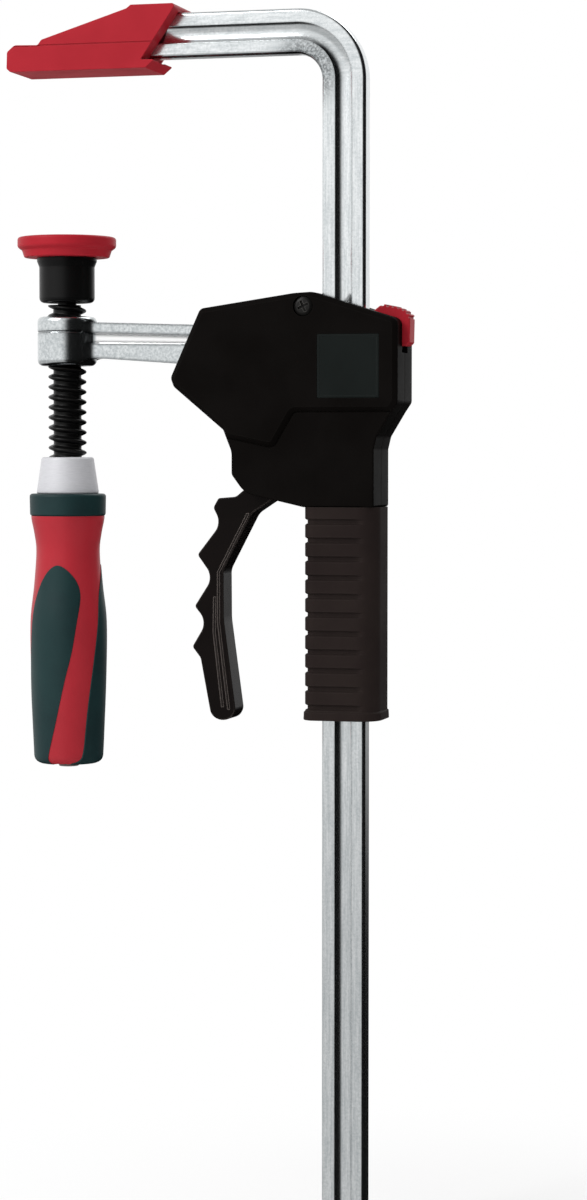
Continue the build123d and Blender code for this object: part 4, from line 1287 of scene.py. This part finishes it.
def head_blank():
    """Half of the head, from the parting plane to its side, before it is hollowed."""
    bm = outline(head_rows)
    start, end = corner_at(bm, panel_right), corner_at(bm, panel_left)
    bends = [Vector((row[0], 0, row[1])) for row in panel_bends]
    bmesh.utils.face_split(bm.faces[:][0], start, end, coords=bends)
    for row, radius in zip(panel_bends, bend_radii):
        round_corner(bm, corner_at(bm, row), radius, 4)
    move(bm, y=-side_base)
    lower, upper = sorted(bm.faces, key=lambda face: face.calc_center_median().z)
    made = bmesh.ops.extrude_edge_only(bm, edges=open_edges(bm))
    bmesh.ops.translate(bm, vec=(0, side_base - seam_base, 0), verts=new_verts(made))
    seam = fill_holes(bm)[0]
    face_out(bm)
    for face, steps in ((seam, seam_edge), (upper, panel_edge), (lower, neck_edge)):
        raise_face(bm, face, steps)
    merge(bm, 20 * weld)
    return bm


print("panel raised in", len(panel_edge), "steps")

# %% [markdown]
# ## Hollow of the shells
# The shells are walls round the mechanism, with bosses for the screws, slots for arm, trigger,
# button and rail, and a shank that carries the grip's sleeve. The same drawing of the head's side,
# drawn in by a wall, gives the hollow. Boxes and rods cut the slots and holes.

# %% Plan the hollow
wall = 2.8
cavity_half = 11.7
cavity_floor = head_bottom + 4
screw_radius, screw_depth, screw_hole = 4.35, 2.9, 4
post_radius, post_gap = 4, 0.6
# Each screw has its x, its z and the side that its head is on: -1 is the front.
screws = [
    (rail_front - 5.5, head_top - 6.2, -1),
    (head_front + 10.8, -137.1, 1),
    (column_front - 6.7, roller.z + bar_half + post_radius + post_gap, 1),
]
hub_radius, fork_room, arm_play = 7.0, 9, 0.3
button_half, button_height, button_travel, button_play, button_room = 5.0, 18.0, 2.6, 0.3, 9
slot_play, slot_half = 0.45, 5.2
arm_slot_floor = 14.4
button_low, button_high = span("release_button")
openings = [
    ((head_front - overrun, -arm_half - arm_play, eye_bottom + arm_slot_floor),
     (column_front, arm_half + arm_play, arm_top + arm_play)),
    ((belly_front + wall, -fork_room, head_bottom - overrun), (grip_front, fork_room, pivot.z + hub_radius)),
    ((button_low.x - button_play, -button_half - button_play,
      button_high.z - button_height - button_travel - button_play),
     (head_back + button_room, button_half + button_play, button_high.z + overrun)),
    ((rail_front - slot_play, -slot_half, sleeve_low.z - overrun),
     (rail_high.x + slot_play, slot_half, head_top + overrun)),
]
guide_slack = Vector((0.05, 0.05, 0.05))
for name in ("upper_guide", "lower_guide"):
    guide_low, guide_high = span(name)
    openings.append((guide_low - guide_slack, guide_high + guide_slack))
print(len(openings), "openings and", len(screws), "screws")


# %% Draw the head in by a wall
def head_face(inset):
    """The head's outline as a flat face, drawn in by inset on all sides."""
    bm = outline([(x, z, 0) for x, z, radius in head_rows])
    bm.normal_update()
    made = bmesh.ops.inset_region(bm, faces=bm.faces, thickness=inset, use_boundary=True,
                                  use_even_offset=True)
    bmesh.ops.delete(bm, geom=made["faces"], context="FACES")
    return bm


def cavity():
    """What is hollow inside the head, around the screws' posts."""
    bm = thicken(head_face(wall), -cavity_half, cavity_half)
    cut_off(bm, (0, 0, cavity_floor), (0, 0, -1))
    fill_holes(bm)
    face_out(bm)
    reach = cavity_half + short_overrun
    return carve(bm, *[rod(x, z, 2 * post_radius, -reach, reach) for x, z, side in screws])


print("the wall is", wall, "mm thick")

# %% Hollow the shells
badge_low, badge_high = span("badge_plate")
badge_slack = 0.12
shank_half, shank_lift, shank_top, shank_corner, long_edge = 12.2, 0.45, 6, 3, 50
pocket_floor, pocket_radius, pocket_drop = cavity_floor + 0.3, 12.9, 12
pin_hole, pin_reach, hole_reach = 6.1, 13, 3
head_play = 0.3


def upright(edge):
    """True for the long edges of a grip, which run along Z."""
    return abs(edge.verts[0].co.z - edge.verts[1].co.z) > long_edge


def shell(side):
    """The front shell (side -1) or the back one (side 1)."""
    shank = block((grip_front + wall, -shank_half, sleeve_low.z + shank_lift),
                  (grip_back - wall, -2 * parting, head_bottom + shank_top))
    soften(shank, shank_corner, 6, where=lambda edge: upright(edge) and edge.verts[0].co.y < -1)
    pocket_top = roller.z - pocket_drop
    spring_pocket = turned([(0, pocket_floor, 0), (pocket_radius, pocket_floor, 0),
                            (pocket_radius, pocket_top, 0), (0, pocket_top, 0)], steps=64)
    cutters = [cavity(), *[block(low, high) for low, high in openings]]
    cutters.append(move(spring_pocket, x=(rail_front + rail_high.x) / 2))
    cutters.append(rod(pivot.x, pivot.z, pin_hole, -pin_reach, pin_reach))
    for x, z, face in screws:
        cutters.append(rod(x, z, screw_hole, -cavity_half - hole_reach, cavity_half + hole_reach))
        if face == side:
            cutters.append(rod(x, z, 2 * screw_radius + head_play, -head_half - overrun,
                               screw_depth - head_half))
    if side == -1:
        cutters.append(block(badge_low - Vector((badge_slack, overrun, badge_slack)),
                             badge_high + Vector((badge_slack, 0, badge_slack))))
    bm = carve(unite(head_blank(), shank), *cutters)
    if side == 1:
        bmesh.ops.scale(bm, vec=(1, -1, 1), verts=bm.verts)
        bmesh.ops.reverse_faces(bm, faces=bm.faces)
    return bm


make_piece(shell(-1), "front_shell", "head", "black_plastic", ["housing_front"])
make_piece(shell(1), "back_shell", "head", "black_plastic", ["housing_back"])

# %% [markdown]
# ## Upper guide
# A plastic block round the rail fills the top of the head and steers it. It follows the shells'
# sloping top, so the shells' outline, drawn in a little, cuts a box. The rail's way is cut last.

# %% Cut the upper guide flush
guide_sink, guide_play = 0.4, 0.35
guide_low, guide_high = span("upper_guide")
bm = overlap(block(guide_low, guide_high), thicken(head_face(guide_sink), -head_half, head_half))
bm = carve(bm, rail_way(guide_play, guide_low.z, guide_high.z))
make_piece(bm, "flush_guide", "head", "guide_plastic", ["upper_guide"])

# %% [markdown]
# ## Badge and screws
# A blank square plate sits in a shallow recess of the front shell. The screws are domed heads with a
# cross recess. A head is turned, and two bars carve the cross.

# %% Lay the badge
border, border_slope, border_step = 0.9, 0.25, 0.2
bm = soften(block(badge_low, badge_high), 0.35, 3)
front = [face for face in side_faces(bm) if face.normal.y < 0]
bmesh.ops.inset_region(bm, faces=front, thickness=border, depth=0)
bmesh.ops.inset_region(bm, faces=front, thickness=border_slope, depth=-border_step)
make_piece(bm, "badge_blank", "head", "badge_plastic", ["badge_plate"], crease=20)

# %% Drive the screws
head_sink, stem_radius, screw_length, rim_height, dome_height = 0.1, 1.9, 24, 3, 0.9
dome_inset, dome_drop = 1.4, 0.15
cross_wide, cross_long, cross_depth, cross_turn = 0.55, 2.5, 1.7, 25
top = head_half - head_sink
rows = [(0, top - screw_length, 0), (stem_radius, top - screw_length, 0.5),
        (stem_radius, top - rim_height, 0), (screw_radius, top - rim_height, 0.3),
        (screw_radius, top - dome_height, 0.7), (screw_radius - dome_inset, top - dome_drop, 0.8),
        (0, top, 0)]
heads = []
for x, z, side in screws:
    bars = [block((-wide, -long, top - cross_depth), (wide, long, top + short_overrun))
            for wide, long in ((cross_wide, cross_long), (cross_long, cross_wide))]
    bm = carve(turned(rows, steps=64), *[soften(bar, 0.2, 2) for bar in bars])
    turn(bm, cross_turn, "Z")
    turn(bm, -90 * side, "X")
    heads.append(move(bm, x=x, z=z))
make_piece(join(*heads), "shell_screws", "head", "black_screw", ["housing_screws"])

# %% [markdown]
# ## Release button
# The red button is a thumb piece that hooks over the head's rear corner. Fine ridges across its top
# corner give grip: rods along a path on its outline cut the grooves between them. Its stem goes down
# to the brake plate.

# %% Shape the button
button_reach = 16.4
groove_reach = button_half + short_overrun
# Shares of the way back over the head's corner, and of the way down.
button_shares = [
    (0.000, 0.160), (0.170, 0.040), (0.310, 0.000), (0.620, 0.055), (0.850, 0.140), (1.000, 0.270),
    (0.985, 0.920), (0.900, 1.000), (0.690, 1.000), (0.690, 0.560), (0.000, 0.310),
]
ridge_shares = [(0.25, 0.015), (0.62, 0.055), (0.85, 0.140), (1.00, 0.270), (1.00, 0.340)]
ridge_pitch, ridge_width = 2.4, 1.5
corner_radius = 0.8
stem_back, stem_depth, stem_drop = rail_high.x + 11.0, 5, 6


def on_button(across, down):
    """A point from shares of the button's reach and height, as (x, z)."""
    return button_high.x - button_reach * (1 - across), button_high.z - button_height * down


rows = [(*on_button(across, down), corner_radius) for across, down in button_shares]
bm = soften(plate(rows, button_half), 0.7, 3)
path = [Vector((x, 0, z)) for x, z in (on_button(across, down) for across, down in ridge_shares)]
walked = 0.0
for start, end in zip(path, path[1:]):
    length = (end - start).length
    while walked < length:
        spot = start.lerp(end, walked / length)
        bm = carve(bm, rod(spot.x, spot.z, ridge_width, -groove_reach, groove_reach, steps=12))
        walked += ridge_pitch
    walked -= length
stem = block((stem_back - stem_depth, -button_half, button_low.z),
             (stem_back, button_half, button_high.z - stem_drop))
bm = unite(bm, soften(stem, 0.4, 2))
make_piece(bm, "thumb_button", "button", "red_plastic", ["release_button"])

# %% [markdown]
# ## Grip sleeve
# The grip is a soft black tube with ribs across its front and sides and a smooth band at its back.
# One rounded rectangle is extruded down ring by ring. Where a groove lies, the ring's front
# part is drawn in, so that the ribs die out before they reach the smooth band.

# %% Draw the sleeve's section
sleeve_half = 15.0
sleeve_corner, sleeve_back_corner = 5.0, 9.0
sleeve_wall = 2.75
rib_count, rib_pitch, rib_first = 11, 8.05, 6.3
groove_half, rib_depth, rib_land, rib_fade = 1.0, 1.1, 6.0, 2.5
# From the edge of a groove: the start of its lip, the lip, and the floor; then the lip's share.
lip_start, lip, floor_in, lip_share = 0.5, 0.1, 0.3, 0.25
groove_steps = [(-groove_half - lip_start, 0), (-groove_half - lip, lip_share),
                (-groove_half + floor_in, 1), (groove_half - floor_in, 1),
                (groove_half + lip, lip_share), (groove_half + lip_start, 0)]
# The collar rises within its first step, and rounds off over the last two.
collar_band, collar_rise, collar_round, collar_tip, collar_share = 4.0, 0.5, 0.6, 0.15, 0.8
collar_steps = [(-collar_band, 0), (-collar_band + collar_rise, collar_share), (-collar_round, 1),
                (-collar_tip, collar_share), (0, 0)]


def sleeve_ring():
    """The sleeve's section as a loop of edges at the head's lower end."""
    bm = bmesh.new()
    places = ((grip_front, -sleeve_half), (grip_back, -sleeve_half),
              (grip_back, sleeve_half), (grip_front, sleeve_half))
    corners = [bm.verts.new((x, y, head_bottom)) for x, y in places]
    chain(bm, corners)
    for corner in corners:
        round_corner(bm, corner, sleeve_corner if corner.co.x < grip_back else sleeve_back_corner, 10)
    for face in (-sleeve_half, sleeve_half):
        flat = [edge for edge in bm.edges if all(abs(vert.co.y - face) < weld for vert in edge.verts)]
        bmesh.ops.subdivide_edges(bm, edges=flat, cuts=6)
    return bm


print("section with rounded corners and", rib_count, "ribs to pull")

# %% Pull the sleeve ring by ring
# Each ring's way down, its share of a groove's depth and its share of the collar's flare.
levels = [(0, 0, 0)]
for index in range(rib_count):
    down = rib_first + index * rib_pitch
    if head_bottom - down - groove_half > sleeve_low.z + collar_band:
        levels += [(down + step, sink, 0) for step, sink in groove_steps]
sleeve_length = head_bottom - sleeve_low.z
levels += [(sleeve_length + step, 0, flare) for step, flare in collar_steps]

bm = sleeve_ring()
loop = bm.edges[:]
for above, below in zip(levels, levels[1:]):
    loop = run_on(bm, loop, (0, 0, above[0] - below[0]))
face_out(bm)
bm.normal_update()
for vert in bm.verts:
    down = head_bottom - vert.co.z
    sink, flare = min(levels, key=lambda level: abs(level[0] - down))[1:]
    fade = min(1, max(0, (grip_back - rib_land - vert.co.x) / rib_fade))
    outward = Vector((vert.normal.x, vert.normal.y, 0)).normalized()
    vert.co += outward * (flare * collar_flare - sink * fade * rib_depth)
fill_holes(bm)
face_out(bm)
inside = block((grip_front + sleeve_wall, -sleeve_half + sleeve_wall, sleeve_low.z - overrun),
               (grip_back - sleeve_wall, sleeve_half - sleeve_wall, head_bottom + overrun))
bm = carve(bm, soften(inside, shank_corner, 6, where=upright))
make_piece(bm, "ribbed_sleeve", "head", "black_rubber", ["grip_sleeve"])

# %% [markdown]
# ## Trigger
# The trigger is a lever with scallops for the fingers. Its side is a flat outline, thickened, with
# two lines moulded down each side. The fork at its upper end holds the roller that presses the
# drive plates, and works out of sight inside the head.

# %% Shape the lever
trigger_reach, trigger_drop = 44.0, 109.6
trigger_half = 7.0
# Shares of the reach and of the drop, and the corner's radius as a share of the drop.
trigger_shares = [
    (0.159, -0.018, 0.000), (0.450, 0.066, 0.010), (0.545, 0.098, 0.030), (0.727, 0.104, 0.012),
    (0.780, 0.142, 0.018), (0.700, 0.205, 0.060), (0.945, 0.331, 0.014), (0.785, 0.420, 0.060),
    (0.975, 0.538, 0.014), (0.850, 0.600, 0.060), (1.000, 0.701, 0.014), (0.915, 0.745, 0.030),
    (0.806, 0.978, 0.044), (0.670, 1.003, 0.055), (0.545, 0.968, 0.044), (0.605, 0.790, 0.200),
    (0.672, 0.590, 0.200), (0.675, 0.392, 0.060), (0.380, 0.165, 0.060), (0.000, 0.064, 0.000),
]
line_width, line_depth = 0.9, 0.6
line_shares = [
    [(0.430, 0.165), (0.735, 0.400), (0.735, 0.600), (0.680, 0.790), (0.630, 0.950)],
    [(0.775, 0.500), (0.780, 0.640), (0.695, 0.940)],
]


def on_lever(forward, down):
    """A point from shares of the trigger's reach and drop, as (x, z)."""
    return pivot.x - forward * trigger_reach, pivot.z - down * trigger_drop


def line_cutter(shares, side):
    """A thin bar that follows a path down the lever, just deep enough into that side."""
    path = [on_lever(forward, down) for forward, down in shares]
    back = [(x + line_width, z) for x, z in reversed(path)]
    ends = sorted((side * (trigger_half - line_depth), 2 * side * trigger_half))
    return thicken(outline([(x, z, 0) for x, z in path + back]), *ends)


rows = [(*on_lever(forward, down), radius * trigger_drop) for forward, down, radius in trigger_shares]
bm = soften(plate(rows, trigger_half), 1.6, 4)
bm = carve(bm, *[line_cutter(shares, side) for shares in line_shares for side in (-1, 1)])
print("lever has", len(bm.faces), "faces")

# %% Add the fork
fork_half, prong_gap, pin_steps = 8.7, 5.6, 48
roller_hole = 6.02
gap_front, gap_back = 12, 14
way = Vector((roller.x - pivot.x, 0, roller.z - pivot.z))
bar = block((0, -fork_half, -bar_half), (way.length, fork_half, bar_half))
turn(bar, -math.degrees(math.atan2(way.z, way.x)), "Y")
bm = unite(bm, rod(pivot.x, pivot.z, 2 * hub_radius, -fork_half, fork_half, pin_steps),
           move(bar, x=pivot.x, z=pivot.z),
           rod(roller.x, roller.z, 2 * bar_half, -fork_half, fork_half, pin_steps))
gap = block((roller.x - gap_front, -prong_gap, pivot.z + hub_radius - bar_half / 2),
            (pivot.x + gap_back, prong_gap, roller.z + gap_front))
reach = fork_half + short_overrun
bm = carve(bm, gap, rod(pivot.x, pivot.z, pin_hole, -reach, reach),
           rod(roller.x, roller.z, roller_hole, -reach, reach))
make_piece(bm, "squeeze_trigger", "trigger", "trigger_plastic", ["trigger"])

# %% [markdown]
# ## Springs
# Two springs in the head push the plates back. A plate comes down on its spring, so the spring has to give
# way. Its mesh is a circle spun up a helix at its full length; the length that the plate leaves it is only
# printed.


# %% Wind the springs
def coil(middle, outside, wire, low, high, turns, steps=40, sides=12):
    """A round wire wound about a vertical line at x = middle, with closed ends."""
    bm = bmesh.new()
    mean, rise = (outside - wire) / 2, (high - low - wire) / turns
    bmesh.ops.create_circle(bm, segments=sides, radius=wire / 2)
    turn(bm, 90, "X")
    move(bm, x=middle + mean, z=low + wire / 2)
    bmesh.ops.spin(bm, geom=bm.verts[:] + bm.edges[:], cent=(middle, 0, 0), axis=(0, 0, 1),
                   dvec=(0, 0, rise / steps), angle=2 * math.pi * turns, steps=steps * turns)
    fill_holes(bm)
    return face_out(bm)


# Each spring's name, node, wire, turns, the joint that presses it and how far it is pressed.
springs = [
    ("plate_spring", "drive_spring", 1.3, 4, "drive_step", 3.6),
    ("lock_spring", "brake_spring", 0.8, 5, "brake_tilt", 2.8),
]
for name, node, wire, turns, joint, travel in springs:
    low, high = span(node)
    middle = (low.x + high.x) / 2
    bm = coil(middle, high.x - low.x, wire, low.z, high.z, turns)
    spring = make_piece(bm, name, "head", slot_of[node], [node])
    length = high.z - low.z
    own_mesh(spring)
    print(name, "keeps", round(length - travel, 1), "of", round(length, 1), "mm")
